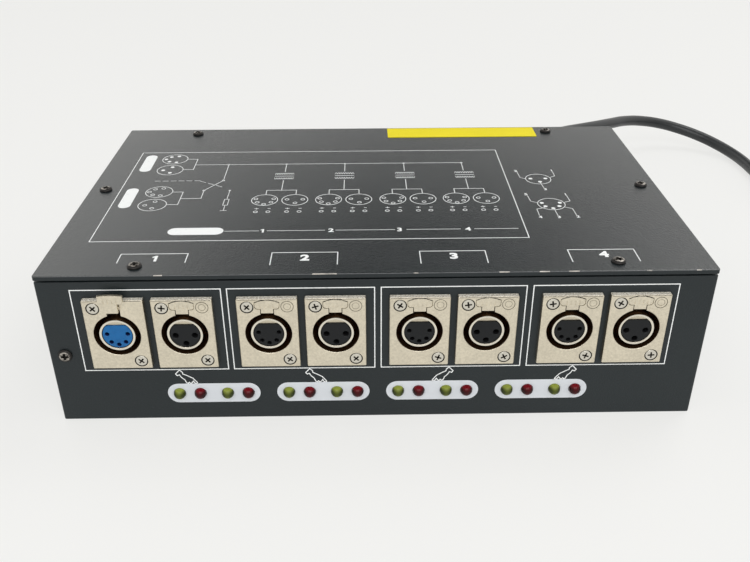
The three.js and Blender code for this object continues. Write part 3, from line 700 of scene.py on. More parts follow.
def flange():
    rows = [(0.0, 0.0), (0.0, FLANGE_T - FLANGE_BEVEL - 0.1), (0.1, FLANGE_T - FLANGE_BEVEL + 0.1),
            (FLANGE_BEVEL - 0.1, FLANGE_T - 0.08), (FLANGE_BEVEL + 0.12, FLANGE_T)]
    return stack(rounded_rows(FLANGE_W, FLANGE_H, FLANGE_CORNER, rows))


def flange_with_housing(bore):
    reach = bore + HOUSING_WALL
    housing = turned([(reach, HOUSING_END), (reach, 1.0)], HOUSING_STEPS)
    return carved(flange(), [housing], "UNION")


def screw_sinks():
    return [turned(SINK_PROFILE, x=x, y=y) for x, y in SCREW_SPOTS]


def engraved_ring(radius, wide, deep, x, y):
    profile = corners(radius - wide / 2, FLANGE_T - deep, radius + wide / 2, FLANGE_T + 1)
    return turned(profile, x=x, y=y, looped=True)


def tab_outline(grown=0.0, raised=0.0, steps=10, shoulder=TAB_SHOULDER):
    half = TAB_HALF + grown
    low = TAB_BOTTOM - grown
    shoulder += raised * 0.7
    rise = TAB_TOP + raised - shoulder
    foot = [(half - TAB_CORNER * (1 - math.sin(turn)), low + TAB_CORNER * (1 - math.cos(turn)))
            for turn in (0.0, 0.4, 0.8, 1.2, math.pi / 2)]
    shares = [1 - step / steps for step in range(2 * steps + 1)]
    top = [(half * share, shoulder + rise * (1 - share ** 2)) for share in shares]
    return foot + top + [(-x, y) for x, y in reversed(foot)]


def ring_and_land():
    ring = turned([(RING_OUT, BORE_FLOOR), (RING_OUT, FLANGE_T - 0.4),
                   (RING_OUT - 0.12, FLANGE_T - 0.12), (RING_OUT - 0.4, FLANGE_T),
                   (RING_IN + 0.55, FLANGE_T), (RING_IN + 0.2, FLANGE_T - 0.2),
                   (RING_IN, FLANGE_T - 0.75), (RING_IN, BORE_FLOOR)], HOUSING_STEPS, looped=True)
    reach = RING_IN + 0.1
    edge = math.asin(KEY_FLAT / reach)
    angles = [edge + (math.pi - 2 * edge) * i / LAND_STEPS for i in range(LAND_STEPS + 1)]
    arc = [(math.cos(angle) * reach, math.sin(angle) * reach) for angle in angles]
    return together(ring, prism(arc, BORE_FLOOR, LAND_TOP))


def socket_shell(has_pocket):
    mouth = BORE + BORE_CHAMFER
    bore = turned([(BORE, BORE_FLOOR), (BORE, FLANGE_T - BORE_CHAMFER / 2),
                   (mouth, FLANGE_T + BORE_CHAMFER / 2), (mouth, FLANGE_T + CLEAR)], BORE_STEPS)
    well = slab((-WELL_HALF, WELL_LOW, WELL_FLOOR), (WELL_HALF, WELL_HIGH, FLANGE_T + CLEAR))
    cutters = [bore, well] + screw_sinks()
    if has_pocket:
        cutters += [engraved_ring(*ring, *DISC_SPOT) for ring in DISC_RINGS]
        cutters.append(prism(tab_outline(TAB_GAP, TAB_TOP_GAP), POCKET_FLOOR, FLANGE_T + CLEAR))
    cutters.append(turned([(RING_IN - 0.1, HOUSING_END - 1), (RING_IN - 0.1, BORE_FLOOR + 1)]))
    return together(carved(flange_with_housing(BORE), cutters), ring_and_land())


def corner_reach(face):
    return max(math.hypot(vert.co.x, vert.co.y) for vert in face.verts)


SHELL_FINISHES = [nickel, painted_shade_bore, bright, painted_shade_gap, painted_shade_cone, rim_wear_and_highlight, painted_shade_land]
PLATE, BORE_WALL, RING, GAP, CONE, RIM, LAND = range(len(SHELL_FINISHES))
FACING_OUT = 0.85
RIM_BAND = 0.08
SINK_REACH = 3.05
DISC_REACH = 2.9


def shell_finish(face):
    reach = corner_reach(face)
    spot = face.calc_center_median()
    near = [math.hypot(spot.x - x, spot.y - y) for x, y in SCREW_SPOTS + (DISC_SPOT,)]
    sunk = spot.z < FLANGE_T - 0.02
    # The sunk land: painted shade.
    if spot.z > 1.0 and reach < RING_IN + 0.2 and face.normal.z > FACING_OUT:
        return LAND
    # Bore walls: painted shade.
    if spot.z < 1.7 and reach < BORE + 0.2:
        return BORE_WALL
    # Screw sinks: painted shade.
    if spot.z < FLANGE_T - 0.05 and min(near[:-1]) < SINK_REACH:
        return GAP
    # Inner cone of the ring: painted shade.
    if reach < RING_IN + 0.6 and sunk and abs(face.normal.z) < FACING_OUT:
        return CONE
    # Gap round the tab: painted shade.
    over_tab = TAB_SHOULDER + 0.1 < spot.y < TAB_TOP + TAB_TOP_GAP + 0.05
    if abs(spot.x) < TAB_HALF and over_tab and sunk:
        return GAP
    # Engraved rings: painted shade.
    if spot.z < FLANGE_T - 0.1 and near[-1] < DISC_REACH:
        return CONE
    # Top rim: cast skin and painted highlight.
    if spot.y > FLANGE_H / 2 - RIM_BAND:
        return RIM
    # Left and right sides of the flange: painted shade.
    if abs(spot.x) > FLANGE_W / 2 - RIM_BAND and spot.z > 0:
        return LAND
    return RING if reach < RING_OUT + 0.05 else PLATE


shell_master = socket_shell(True)
plain_shell_master = socket_shell(False)
print("shell faces", len(shell_master.faces))

# %% Socket shells in their places
for name in SOCKETS + LINKS:
    master = plain_shell_master if name == "socket_1" else shell_master
    add(f"{name}_casting", master, places[name], SHELL_FINISHES, shell_finish,
        replaces=f"{name}_shell")
print("castings", len(SOCKETS + LINKS))

# %% [markdown]
# ## Contact inserts
# Satin moulded plastic, blue in the first socket and black in the others, with a flat on top that
# keys the cable plug. Each contact is a metal tube a little way down its hole.

# %% Insert materials
black_mould = plain_finish("black_insert", (0.0055, 0.0065, 0.0075), 0.42, cloud=(200, 0.36, 0.16),
                           grain=(2400, 2, 0.12, 0.0002), Specular_IOR_Level=0.25)
blue_mould = plain_finish("blue_insert", (0.004, 0.11, 0.32), 0.36, grain=(2400, 2, 0.1, 0.0002),
                          Specular_IOR_Level=0.3)
blue_mould.two_tone(blue_mould.noise(160), 0.3, 0.7, (0.003, 0.095, 0.28), (0.006, 0.13, 0.36))
contact_metal = plain_finish("contact_tube", (0.35, 0.30, 0.22), 0.35, 1.0,
                             grain=(1200, 3, 0.1, 0.0001))
# Painted shade: darker, rougher copies of the black and the blue plastic for the walls of the
# contact holes.
painted_shade_hole = plain_finish("contact_hole", (0.004, 0.004, 0.005), 0.6, cloud=(300, 0.5, 0.2))
blue_hole_dark = plain_finish("blue_contact_hole", (0.004, 0.015, 0.10), 0.6, cloud=(300, 0.5, 0.2))

# %% Inserts
INSERT_RADIUS = 6.4
INSERT_FLAT = 4.72
INSERT_FACE = 2.25
POLES = {3: ((-4.15, -0.6), (4.15, -0.6), (0.0, -4.75)),
         5: ((-4.4, 0.5), (4.4, 0.5), (-3.1, -3.6), (3.1, -3.6), (0.0, -4.9))}
POLE_RADIUS = {3: 1.3, 5: 0.95}
POLE_DEEP = 10
HOLE_STEPS = 28
TUBE_END = INSERT_FACE - 9.9
TUBE_FACE = INSERT_FACE - 4.0
TUBE_WALL = 0.22


def keyed(inset=0.0, steps=ROUND_STEPS):
    radius, flat = INSERT_RADIUS - inset, INSERT_FLAT - inset
    edge = math.asin(min(flat / radius, 1))
    sweep = math.pi + 2 * edge
    return [(radius * math.cos(math.pi - edge + sweep * i / steps),
             radius * math.sin(math.pi - edge + sweep * i / steps)) for i in range(steps + 1)]


def at_poles(profile, poles, steps, looped=False):
    return [turned(profile, steps, x, y, looped) for x, y in POLES[poles]]


def socket_insert(poles):
    rows = ((0.0, HOUSING_END), (0.0, INSERT_FACE - 0.25), (0.08, INSERT_FACE - 0.07),
            (0.25, INSERT_FACE))
    radius = POLE_RADIUS[poles]
    profile = [(radius, INSERT_FACE - POLE_DEEP), (radius, INSERT_FACE - 0.2),
               (radius + 0.25, INSERT_FACE + 0.05), (radius + 0.25, INSERT_FACE + 1)]
    body = stack([(keyed(inset), level) for inset, level in rows])
    return carved(body, at_poles(profile, poles, HOLE_STEPS))


def contact_tubes(poles):
    radius = POLE_RADIUS[poles] - 0.1
    profile = [(radius, TUBE_END), (radius, TUBE_FACE), (radius - 0.1, INSERT_FACE - 3.9),
               (radius - TUBE_WALL, TUBE_FACE), (radius - TUBE_WALL, TUBE_END)]
    return together(*at_poles(profile, poles, PIN_STEPS, looped=True))


# Faces down inside the holes get painted shade.
def insert_finish(face):
    x, y, z = face.calc_center_median()
    inside = math.hypot(x, y) < INSERT_RADIUS - 0.3 and y < INSERT_FLAT - 0.3
    return 1 if inside and z < INSERT_FACE - 0.12 else 0


insert_master = {poles: socket_insert(poles) for poles in (3, 5)}
tube_master = {poles: contact_tubes(poles) for poles in (3, 5)}
poles_of = {name: 5 if index % 2 == 0 else 3 for index, name in enumerate(SOCKETS)}
poles_of.update({name: 5 if "5pin" in name else 3 for name in LINKS + INLETS})
for name in SOCKETS + LINKS:
    blue = name == "socket_1"
    finishes = [blue_mould, blue_hole_dark] if blue else [black_mould, painted_shade_hole]
    add(f"{name}_moulding", insert_master[poles_of[name]], places[name],
        finishes, insert_finish,
        replaces=f"{name}_insert")
    add(f"{name}_contacts", tube_master[poles_of[name]], places[name], [contact_metal])
print("inserts", len(SOCKETS + LINKS), "poles", [poles_of[name] for name in SOCKETS])

# %% [markdown]
# ## Latch tabs
# A tab sits in a shallow pocket of the flange, and its arm runs along the top of the bore to the
# hook that holds the cable plug. The first socket's tab has come loose: it stands higher and
# further out than the others, with its neck bare below it.

# %% Latches
TAB_THICK = 1.4
NECK_HALF = 2.6
ARM_LOW = 10.4
ARM_THICK = 1.2
ARM_END = -13.5
SLIP_UP = 4.2
SLIP_OUT = 2.0
LOOSE_SHOULDER = 16.3
GRIP_SPOTS = (-2.7, -0.9, 0.9, 2.7)
GRIP_LEVEL = 14.1
GRIP_DEEP = 0.14
TAB_EDGE = 0.18
TAB_BASE = FLANGE_T - TAB_THICK


def tab_plate(shoulder=TAB_SHOULDER):
    rim = tab_outline(shoulder=shoulder)
    inner = [(x * 0.965, TAB_BOTTOM + TAB_EDGE + (y - TAB_BOTTOM) * 0.93) for x, y in rim]
    grip = rounded(0.5, 2.1, 0.2, 0, 3)
    return carved(stack([(rim, TAB_BASE), (rim, FLANGE_T - TAB_EDGE), (inner, FLANGE_T)]),
                  [prism(shifted(grip, x, GRIP_LEVEL), FLANGE_T - GRIP_DEEP, FLANGE_T + 0.5)
                   for x in GRIP_SPOTS])


def latch(shoulder, blocks):
    """A tab plate joined with blocks as wide as its neck, each (low, base, high, top)."""
    bars = [slab((-NECK_HALF, low, base), (NECK_HALF, high, top))
            for low, base, high, top in blocks]
    return carved(tab_plate(shoulder), bars, "UNION")


# The seated tab's edge faces along its top, down in the pocket, get painted shade.
def tab_finish(face):
    spot = face.calc_center_median()
    on_edge = abs(face.normal.z) < 0.5 and spot.z < FLANGE_T - 0.1
    return 1 if on_edge and spot.y > TAB_SHOULDER + 0.05 else 0


ARM_HIGH = ARM_LOW + ARM_THICK
seated_master = latch(TAB_SHOULDER, [
    (ARM_LOW, TAB_BASE, TAB_BOTTOM + 0.5, FLANGE_T - 0.05),
    (ARM_LOW, ARM_END, ARM_HIGH, TAB_BASE + 0.5),
    (ARM_LOW - 1.4, ARM_END, ARM_LOW + 0.5, ARM_END + 2.0)])
loose_master = moved(latch(LOOSE_SHOULDER, [
    (TAB_BOTTOM - 4.4, TAB_BASE, TAB_BOTTOM + 0.5, FLANGE_T - 0.2),
    (ARM_LOW, -1.5, ARM_HIGH, TAB_BASE + 0.5)]), Matrix.Translation((0, SLIP_UP, SLIP_OUT)))
for name in SOCKETS + LINKS:
    loose = name == "socket_1"
    add(f"{name}_tab", loose_master if loose else seated_master, places[name],
        [nickel, painted_shade_gap], None if loose else tab_finish, f"{name}_latch", f"{name}_latch")
print("tab faces", len(seated_master.faces), "loose tab faces", len(loose_master.faces))

# %% [markdown]
# ## Screws
# The flanges are held by bright countersunk screws with cross recesses, each turned its own way.
# The cover's black screws have low pan heads whose domes have been worn bright by the driver.

# %% Screw materials and shapes
screw_bright = plain_finish("bright_screw", (0.66, 0.63, 0.55), 0.28, 1.0, cloud=(900, 0.22, 0.2),
                            grain=(1300, 3, 0.25, 0.0002))
screw_black = plain_finish("black_screw_rim", (0.020, 0.018, 0.017), 0.4, 0.6,
                           cloud=(700, 0.34, 0.2))
screw_worn = plain_finish("worn_screw_dome", (0.42, 0.38, 0.34), 0.3, 1.0, cloud=(500, 0.28, 0.16))
screw_worn.two_tone(screw_worn.noise(900, 3, 0.6), 0.36, 0.56,
                    (0.06, 0.052, 0.046), (0.44, 0.41, 0.37))
# Painted shade for the cross recesses: near black deep down, a lighter grey metal higher up the
# walls.
painted_shade_recess = plain_finish("painted_recess_shade", (0.006, 0.005, 0.004), 0.6, cloud=(800, 0.5, 0.2),
                           Specular_IOR_Level=0.15)
painted_half_shade_recess = plain_finish("painted_recess_half_shade", (0.09, 0.078, 0.062), 0.3, 0.8, cloud=(800, 0.26, 0.2))
COUNTERSUNK = [(1.4, 0.4), (1.5, 1.0), (2.35, 2.0), (2.5, 2.3), (2.38, 2.44), (1.4, 2.56)]
PAN_RADIUS = 3.1
PAN_HEIGHT = 1.5
PAN_DOME = PAN_RADIUS - 0.15
PAN_EDGE = 0.75
PAN_STEPS = 7


def cross_recess(size, top, deep, wide):
    arms = []
    for turn in (0, 1):
        layers = []
        for share, height in ((0.45, top - deep), (1.0, top + 0.05), (1.0, top + 1.0)):
            half, narrow = size * share, size * wide * (0.6 + 0.4 * share)
            outline = corners(-half, -narrow, half, narrow)
            layers.append(([(-y, x) for x, y in outline] if turn else outline, height))
        arms.append(stack(layers))
    return arms


def pan_head():
    layers = [(1.45, -4.0), (1.45, 0.02), (PAN_RADIUS - 0.1, 0.02), (PAN_RADIUS, 0.2),
              (PAN_RADIUS, 0.55)]
    rise = PAN_HEIGHT - PAN_EDGE
    for step in range(PAN_STEPS):
        angle = step / PAN_STEPS * math.pi / 2
        layers.append((PAN_DOME * math.cos(angle), PAN_EDGE + rise * math.sin(angle)))
    return carved(turned(layers), cross_recess(PAN_RADIUS * 0.56, PAN_HEIGHT - 0.1, 1.0, 0.33))


random.seed(11)
countersunk_master = carved(turned(COUNTERSUNK), cross_recess(1.5, 2.5, 1.2, 0.24))
pan_master = pan_head()


def turned_by_chance(matrix, x=0.0, y=0.0):
    spin = Matrix.Rotation(random.uniform(0, math.pi / 2), 4, "Z")
    return matrix @ Matrix.Translation((x, y, 0)) @ spin


# Deep faces and the middle of the recess get the dark painted shade, the upper walls the lighter
# one.
def countersunk_finish(face):
    spot = face.calc_center_median()
    reach = math.hypot(spot.x, spot.y)
    if 1.2 < spot.z < 2.4 and reach < 1.7 and abs(face.normal.z) < 0.97:
        return 1 if spot.z < 1.9 or reach < 0.75 else 2
    return 1 if 1.2 < spot.z < 2.0 and reach < 1.2 else 0


# The cross recess gets painted shade, which on these black screws is also their unworn black oxide.
def pan_finish(face):
    spot = face.calc_center_median()
    reach = math.hypot(spot.x, spot.y)
    skin = PAN_EDGE + (PAN_HEIGHT - PAN_EDGE) * math.sqrt(max(1 - (reach / PAN_DOME) ** 2, 0))
    if spot.z > 0.2 and reach < 1.9 and spot.z < skin - 0.12:
        return 2
    return 1 if spot.z > 1.2 else 0


for name, place in places.items():
    for number, (x, y) in enumerate(SCREW_SPOTS, 1):
        add(f"{name}_screw_{number}", countersunk_master, turned_by_chance(place, x, y),
            [screw_bright, painted_shade_recess, painted_half_shade_recess], countersunk_finish)
black_screws = {f"cover_screw_{number}": f"cover_screw_head_{number}" for number in range(1, 7)}
seats = {node: turned_by_chance(on_top(*middle_of(node)[:2])) for node in black_screws}
black_screws["bracket_screw"] = "bracket_screw_head"
seats["bracket_screw"] = on_front(*on_panel("bracket_screw"))
for node, head in black_screws.items():
    add(head, pan_master, seats[node], [screw_black, screw_worn, painted_shade_recess],
        pan_finish, replaces=node)
print("flange screws", len(places) * len(SCREW_SPOTS), "black screws", len(black_screws))

# %% [markdown]
# ## Screen print
# The print is thin white ink: frames round the socket pairs, lamp fields, pointing hands, plain
# numbers and a circuit drawing on the cover. Each line is a mitred strip with a real thickness, a
# few hundredths of a millimetre, so that it also lives in the exported mesh.

# %% Ink material and strokes
ink = Finish("white_ink", (0.84, 0.86, 0.86), 0.5)
ink.two_tone(ink.noise(500, 3, 0.6), 0.6, 0.85, (0.86, 0.88, 0.88), (0.55, 0.57, 0.57))
INK_BASE = -0.02
INK_TOP = 0.05
FONT_SHARE = 0.72
ONE_SHARES = ((-0.03, -0.5), (0.21, -0.5), (0.21, 0.5), (0.03, 0.5), (-0.23, 0.33), (-0.23, 0.11),
              (-0.03, 0.23))


def strip(points, thick, closed=False):
    """A mitred strip of ink along a polyline."""
    line = [Vector(point) for point in points]
    count = len(line)
    left, right = [], []
    for i, point in enumerate(line):
        before = line[i - 1] if i > 0 or closed else None
        after = line[(i + 1) % count] if i < count - 1 or closed else None
        ahead = (after - point).normalized() if after is not None else (point - before).normalized()
        behind = (point - before).normalized() if before is not None else ahead
        normal = Vector((-(ahead + behind).y, (ahead + behind).x)).normalized()
        reach = thick / 2 / max(normal.dot(Vector((-ahead.y, ahead.x))), 0.4)
        left.append(point + normal * reach)
        right.append(point - normal * reach)
    mesh = bmesh.new()
    sides = ((left, INK_BASE), (left, INK_TOP), (right, INK_TOP), (right, INK_BASE))
    rows = [[mesh.verts.new((p.x, p.y, height)) for p in side] for side, height in sides]
    for i in range(count if closed else count - 1):
        j = (i + 1) % count
        for row in range(4):
            other = (row + 1) % 4
            mesh.faces.new((rows[row][i], rows[row][j], rows[other][j], rows[other][i]))
    if not closed:
        mesh.faces.new([row[0] for row in rows])
        mesh.faces.new([row[-1] for row in reversed(rows)])
    bmesh.ops.recalc_face_normals(mesh, faces=mesh.faces)
    return mesh


def field(outline):
    return prism(outline, INK_BASE, INK_TOP)


def long_field(width, height, x, y, steps=10, short=0.05):
    """A field with round ends, centred on x, y."""
    outline = rounded(width, height, min(width, height) / 2 - short, 0, steps)
    return field(shifted(outline, x, y))


def numeral(text, x, y, height, bold, wide=1.1):
    """A plain number as a flat mesh, centred on x, y."""
    curve = bpy.data.curves.new("numeral", "FONT")
    curve.body = text
    curve.size = height / FONT_SHARE
    curve.offset = bold * height
    curve.extrude = (INK_TOP - INK_BASE) / 2
    obj = put("numeral", curve)
    mesh = settled(obj)
    bpy.data.objects.remove(obj)
    xs = [vert.co.x for vert in mesh.verts]
    ys = [vert.co.y for vert in mesh.verts]
    centre = Vector(((min(xs) + max(xs)) / 2, (min(ys) + max(ys)) / 2, -(INK_TOP + INK_BASE) / 2))
    bmesh.ops.translate(mesh, verts=mesh.verts, vec=-centre)
    bmesh.ops.scale(mesh, verts=mesh.verts, vec=(wide, 1.0, 1.0))
    bmesh.ops.translate(mesh, verts=mesh.verts, vec=(x, y, 0))
    return mesh


def bold_one(x, y, height):
    return field([(x + px * height, y + py * height) for px, py in ONE_SHARES])


# %% Front print
FRAME_LOW = 27.3
FRAME_HIGH = 68.45
FRAME_HALF = 31.2
FRAME_LINE = 0.44
FRAME_TRIMS = ((-0.9, 0.0), (0.0, 0.0), (0.2, -0.4), (-0.1, -0.5))
PILL_HALF = 20.87
PILL_LOW = 9.04
PILL_HIGH = 19.45
front_print = []
socket_x = [on_panel(f"{name}_shell")[0] for name in SOCKETS]
group_middles = [(a + b) / 2 / MM for a, b in zip(socket_x[::2], socket_x[1::2])]
for middle, (trim_left, trim_right) in zip(group_middles, FRAME_TRIMS):
    left, right = middle - FRAME_HALF + trim_left, middle + FRAME_HALF + trim_right
    front_print.append(strip(corners(left, FRAME_LOW, right, FRAME_HIGH), FRAME_LINE, True))

# A pointing hand, drawn in shares of its box: cuff at the upper left, finger at the lower right.
HAND_SHARES = ((0.20, 0.99), (0.00, 0.72), (0.07, 0.60), (0.17, 0.66), (0.26, 0.47), (0.40, 0.30),
               (0.47, 0.08), (0.55, 0.05), (0.60, 0.12), (0.66, 0.03), (0.72, 0.07), (0.80, 0.20),
               (0.86, 0.06), (0.99, 0.02), (0.97, 0.12), (0.78, 0.42), (0.50, 0.62), (0.34, 0.72),
               (0.33, 0.84))
HANDS = ((-90.2, -80.8, False), (-32.2, -22.9, False), (24.4, 33.7, True), (79.6, 89.0, True))
HAND_LOW = 19.3
HAND_HIGH = 27.0
HAND_LINE = 0.42
for left, right, mirrored in HANDS:
    points = []
    for share_x, share_y in HAND_SHARES:
        share = 1 - share_x if mirrored else share_x
        points.append((left + (right - left) * share, HAND_LOW + (HAND_HIGH - HAND_LOW) * share_y))
    front_print.append(strip(points, HAND_LINE, True))
add("front_print", together(*front_print), on_front(0, 0), [ink])
pill_ink = plain_finish("white_lamp_field", (0.66, 0.69, 0.73), 0.45, cloud=(200, 0.4, 0.15))
pills = [long_field(PILL_HALF * 2, PILL_HIGH - PILL_LOW, middle_of(board)[0] / MM,
                    (PILL_LOW + PILL_HIGH) / 2, 14) for board in lamp_boards]
pill_hole = [(LAMP_HOLE - 0.05, -1), (LAMP_HOLE - 0.05, 1)]
pill_holes = [turned(pill_hole, LAMP_STEPS, x / MM, z / MM) for x, z in lamp_places]
add("lamp_fields", carved(together(*pills), [together(*pill_holes)]), on_front(0, 0),
    [pill_ink])
print("front strokes", len(front_print), "lamp fields", len(pills))

# %% [markdown]
# ## Indicator lamps
# Sixteen five-millimetre lamps, green and red in turn, unlit. Tinted resin looks deep because light
# enters the dome and comes back from the metal inside. Here that is painted light and shade: the
# colour runs from a dark rim to a lighter heart, by the distance from the lamp's axis. Two small
# pale marks, painted glints, stand for the post and the cup that show through the resin, and a
# smooth skin gives the highlight.

# %% Lamps
def resin(name, dark, light, metal):
    tint = Finish(name, light, 0.1, Specular_IOR_Level=0.2)
    spot = tint.node("ShaderNodeTexCoord", output=0)
    off_axis = tint.node("ShaderNodeVectorMath", {"operation": "MULTIPLY_ADD"},
                         {0: spot, 1: (2, 2, 0), 2: (-1, -1, 0)})
    reach = tint.node("ShaderNodeVectorMath", {"operation": "LENGTH"}, {0: off_axis}, output=1)
    across, up = (tint.axis(way, off_axis) for way in "XY")
    # Painted glints: two pale marks for the post and the cup that show through the resin.
    post = tint.ramp(abs(across + 0.2), 0.17, 0.10) * tint.ramp(abs(up - 0.2), 0.40, 0.30)
    cup = tint.ramp(abs(across - 0.22), 0.20, 0.12) * tint.ramp(abs(up - 0.28), 0.20, 0.12)
    # Painted light and shade: dark at the rim, lighter at the heart, by distance from the axis.
    tinted = tint.mix(tint.ramp(reach, 0.78, 1.04), light, dark)
    tint.set("Base Color", tint.mix(post.highest(cup), tinted, metal))
    tint.set("Roughness", 0.07 + tint.noise(300) * 0.05)
    return tint


green = resin("green_resin", (0.03, 0.04, 0.005), (0.25, 0.29, 0.045), (0.62, 0.66, 0.28))
red = resin("red_resin", (0.022, 0.0006, 0.001), (0.15, 0.0015, 0.006), (0.72, 0.26, 0.26))
mask = Finish("green_solder_mask", (0.012, 0.09, 0.035), 0.35)
mask.two_tone(mask.noise(500, 2), 0.45, 0.6, (0.010, 0.08, 0.03), (0.02, 0.13, 0.05))
LAMP_FOOT = -6.2
DOME_BASE = 0.2
DOME_ANGLES = [step * math.pi / 20 for step in range(1, 10)]
dome = [(LAMP_RADIUS, LAMP_FOOT), (LAMP_RADIUS, DOME_BASE)]
dome += [(LAMP_RADIUS * math.cos(angle), DOME_BASE + LAMP_RADIUS * math.sin(angle))
         for angle in DOME_ANGLES]
dome_master = turned(dome + [(0.05, DOME_BASE + LAMP_RADIUS)], LAMP_STEPS)
BOARD_SHEET = 1.6
LAMP_LOOKS = (("lamp_green", green), ("lamp_red", red))
for number, board in enumerate(lamp_boards, 1):
    wide, _, tall = size_of(board)
    outline = rounded(wide, tall, 1.0, 0, 4)
    back = (FRONT_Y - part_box(board)[1][1]) / MM
    add(f"{board}_plate", prism(outline, back, back + BOARD_SHEET), on_front(*on_panel(board)),
        [mask], replaces=board)
    for place, (x, z) in enumerate(lamp_places[number * 4 - 4:number * 4]):
        slot, look = LAMP_LOOKS[place % 2]
        add(f"lamp_{number}_{place + 1}", dome_master, on_front(x, z), [look], replaces=board)
print("lamp dome faces", len(dome_master.faces))

# %% [markdown]
# ## Print on the cover
# The circuit drawing shows how the signal runs: two inlets to one bus, a change-over switch, and a
# small transformer for each of the four outputs. Its places are in millimetres on the cover, with
# y counted from the front face.

# %% Cover print
THIN = 0.32
FINE = 0.27
BOLD = 0.4
COIL = 0.24
top_print = []


def draw(points, thick=THIN, closed=False):
    top_print.append(strip(points, thick, closed))


def put_dot(radius, x, y):
    top_print.append(field(circle(radius, 16, x, y)))


def put_loop(radius, x, y, thick=THIN, steps=48):
    top_print.append(strip(circle(radius, steps, x, y), thick, True))


BRACKETS = ((-111.0, -82.0, 9.8), (-45.6, -17.0, 6.8), (18.6, 47.2, 6.8), (83.3, 112.2, 6.8))
BRACKET_Y = 18.0
NUMERALS = (("1", -95.6, 13.6), ("2", -31.1, 13.2), ("3", 33.1, 13.4), ("4", 98.1, 13.6))
for left, right, foot in BRACKETS:
    draw([(left, foot), (left, BRACKET_Y), (right, BRACKET_Y), (right, foot)], BOLD)
for text, x, y in NUMERALS:
    top_print.append(bold_one(x, y, 5.0) if text == "1" else numeral(text, x, y, 5.0, 0.06, 1.12))

PANEL = (-128.3, 30.2, 68.7, 139.5)
draw(corners(*PANEL), BOLD, True)
for low, high in ((112.0, 135.5), (66.0, 89.7)):
    top_print.append(long_field(6.0, high - low, -122.0, (low + high) / 2))
top_print.append(long_field(25.4, 7.1, -82.5, 39.75))

OUTPUT_Y = 39.6
OUTPUT_NUMBERS = ((-52.0, 1.5, 2.1), (-20.6, 2.8, 2.0), (10.8, 2.1, 3.2), (42.2, 3.3, 2.9))
start = -69.4
for index, (x, before, after) in enumerate(OUTPUT_NUMBERS):
    draw([(start, OUTPUT_Y), (x - before, OUTPUT_Y)], FINE)
    if index == 0:
        top_print.append(bold_one(x, OUTPUT_Y, 3.4))
    else:
        top_print.append(numeral(str(index + 1), x, OUTPUT_Y, 3.4, 0.04))
    start = x + after
draw([(start, OUTPUT_Y), (65.4, OUTPUT_Y)], FINE)

PINS5 = ((-4.4, 1.4), (4.4, 1.4), (-3.4, -2.6), (3.4, -2.6), (0.0, -4.9))
PINS3 = ((-3.9, 0.6), (3.9, 0.6), (0.3, -3.6))


def pin_circle(x, y, radius, pins, filled, turn=0):
    """A connector seen from its face, turned by quarters, with filled or open pins."""
    put_loop(radius, x, y)
    for px, py in pins:
        for _ in range(turn):
            px, py = -py, px
        if filled:
            put_dot(1.0, x + px, y + py)
        else:
            put_loop(0.95, x + px, y + py, 0.3, 16)


# The two inlets, the two link sockets, the switch and its lead to the bus.
REAR_PLANS = ((-108.6, 129.4, 6.8, PINS5, True), (-108.5, 114.0, 6.8, PINS3, True),
              (-108.3, 85.0, 6.7, PINS5, False), (-108.5, 69.3, 6.8, PINS3, False))
for plan in REAR_PLANS:
    pin_circle(*plan, turn=3)
for points in (((-101.7, 129.3), (-96.2, 129.3), (-96.2, 114.5), (-101.7, 114.5)),
               ((-96.2, 121.0), (47.6, 121.0)),
               ((-101.6, 84.7), (-96.2, 84.7), (-96.2, 69.5), (-101.7, 69.5)),
               ((-78.1, 121.1), (-78.0, 99.0), (-86.1, 86.3), (-86.0, 76.6), (-96.1, 76.6))):
    draw(points)
for x, y in ((-78.0, 99.0), (-86.1, 86.3), (-78.1, 121.0)):
    put_dot(0.75, x, y)
for place in range(6):
    draw([(-113.5 + place * 4.1, 99.0), (-110.5 + place * 4.1, 99.0)], FINE)
for place in range(3):
    near, far = place * 0.37, place * 0.37 + 0.26
    draw([(-89.9 + near * 12.3, 98.4 - near * 7.8), (-89.9 + far * 12.3, 98.4 - far * 7.8)], FINE)
draw([(-73.0, 86.0), (-73.0, 75.6)], FINE)
draw(corners(-74.1, 75.2, -71.9, 68.2), FINE, True)
draw([(-73.0, 67.8), (-73.0, 62.1)], FINE)
draw([(-74.6, 62.1), (-71.4, 62.1)], FINE)
put_dot(0.6, -73.0, 86.0)

TAPS = (-46.9, -15.4, 16.3, 47.6)
WINDING_HALF = 5.0
WINDING_HIGH = 2.0
WINDING_LOOPS = 8


def winding(x, y, way):
    steps = WINDING_LOOPS * 8
    shares = [step / steps for step in range(steps + 1)]
    return [(x - WINDING_HALF + 2 * WINDING_HALF * share,
             y + way * WINDING_HIGH * abs(math.sin(share * WINDING_LOOPS * math.pi)))
            for share in shares]


for x in TAPS:
    put_dot(0.75, x, 120.8)
    draw([(x, 120.5), (x, 110.0)])
    draw(winding(x, 106.2, 1), COIL)
    draw([(x - WINDING_HALF, 104.2), (x + WINDING_HALF, 104.2)])
    draw(winding(x, 102.2, -1), COIL)
    draw([(x, 98.6), (x, 85.8)])
    draw([(x - 7.4, 80.6), (x - 7.4, 85.8), (x + 7.6, 85.8), (x + 7.6, 80.6)])
    pin_circle(x - 7.4, 73.9, 6.4, PINS5, False)
    pin_circle(x + 7.5, 73.8, 6.4, PINS3, False)
    for centre in (x - 7.4, x + 7.5):
        plus, minus = centre - 2.9, centre + 3.2
        draw([(plus - 1.0, 63.8), (plus + 1.0, 63.8)])
        draw([(plus, 63.0), (plus, 64.6)])
        draw([(minus - 0.7, 63.8), (minus + 0.7, 63.8)])
        put_loop(0.95, plus - 0.2, 60.2, steps=20)
        put_loop(0.95, minus - 0.3, 60.2, steps=20)

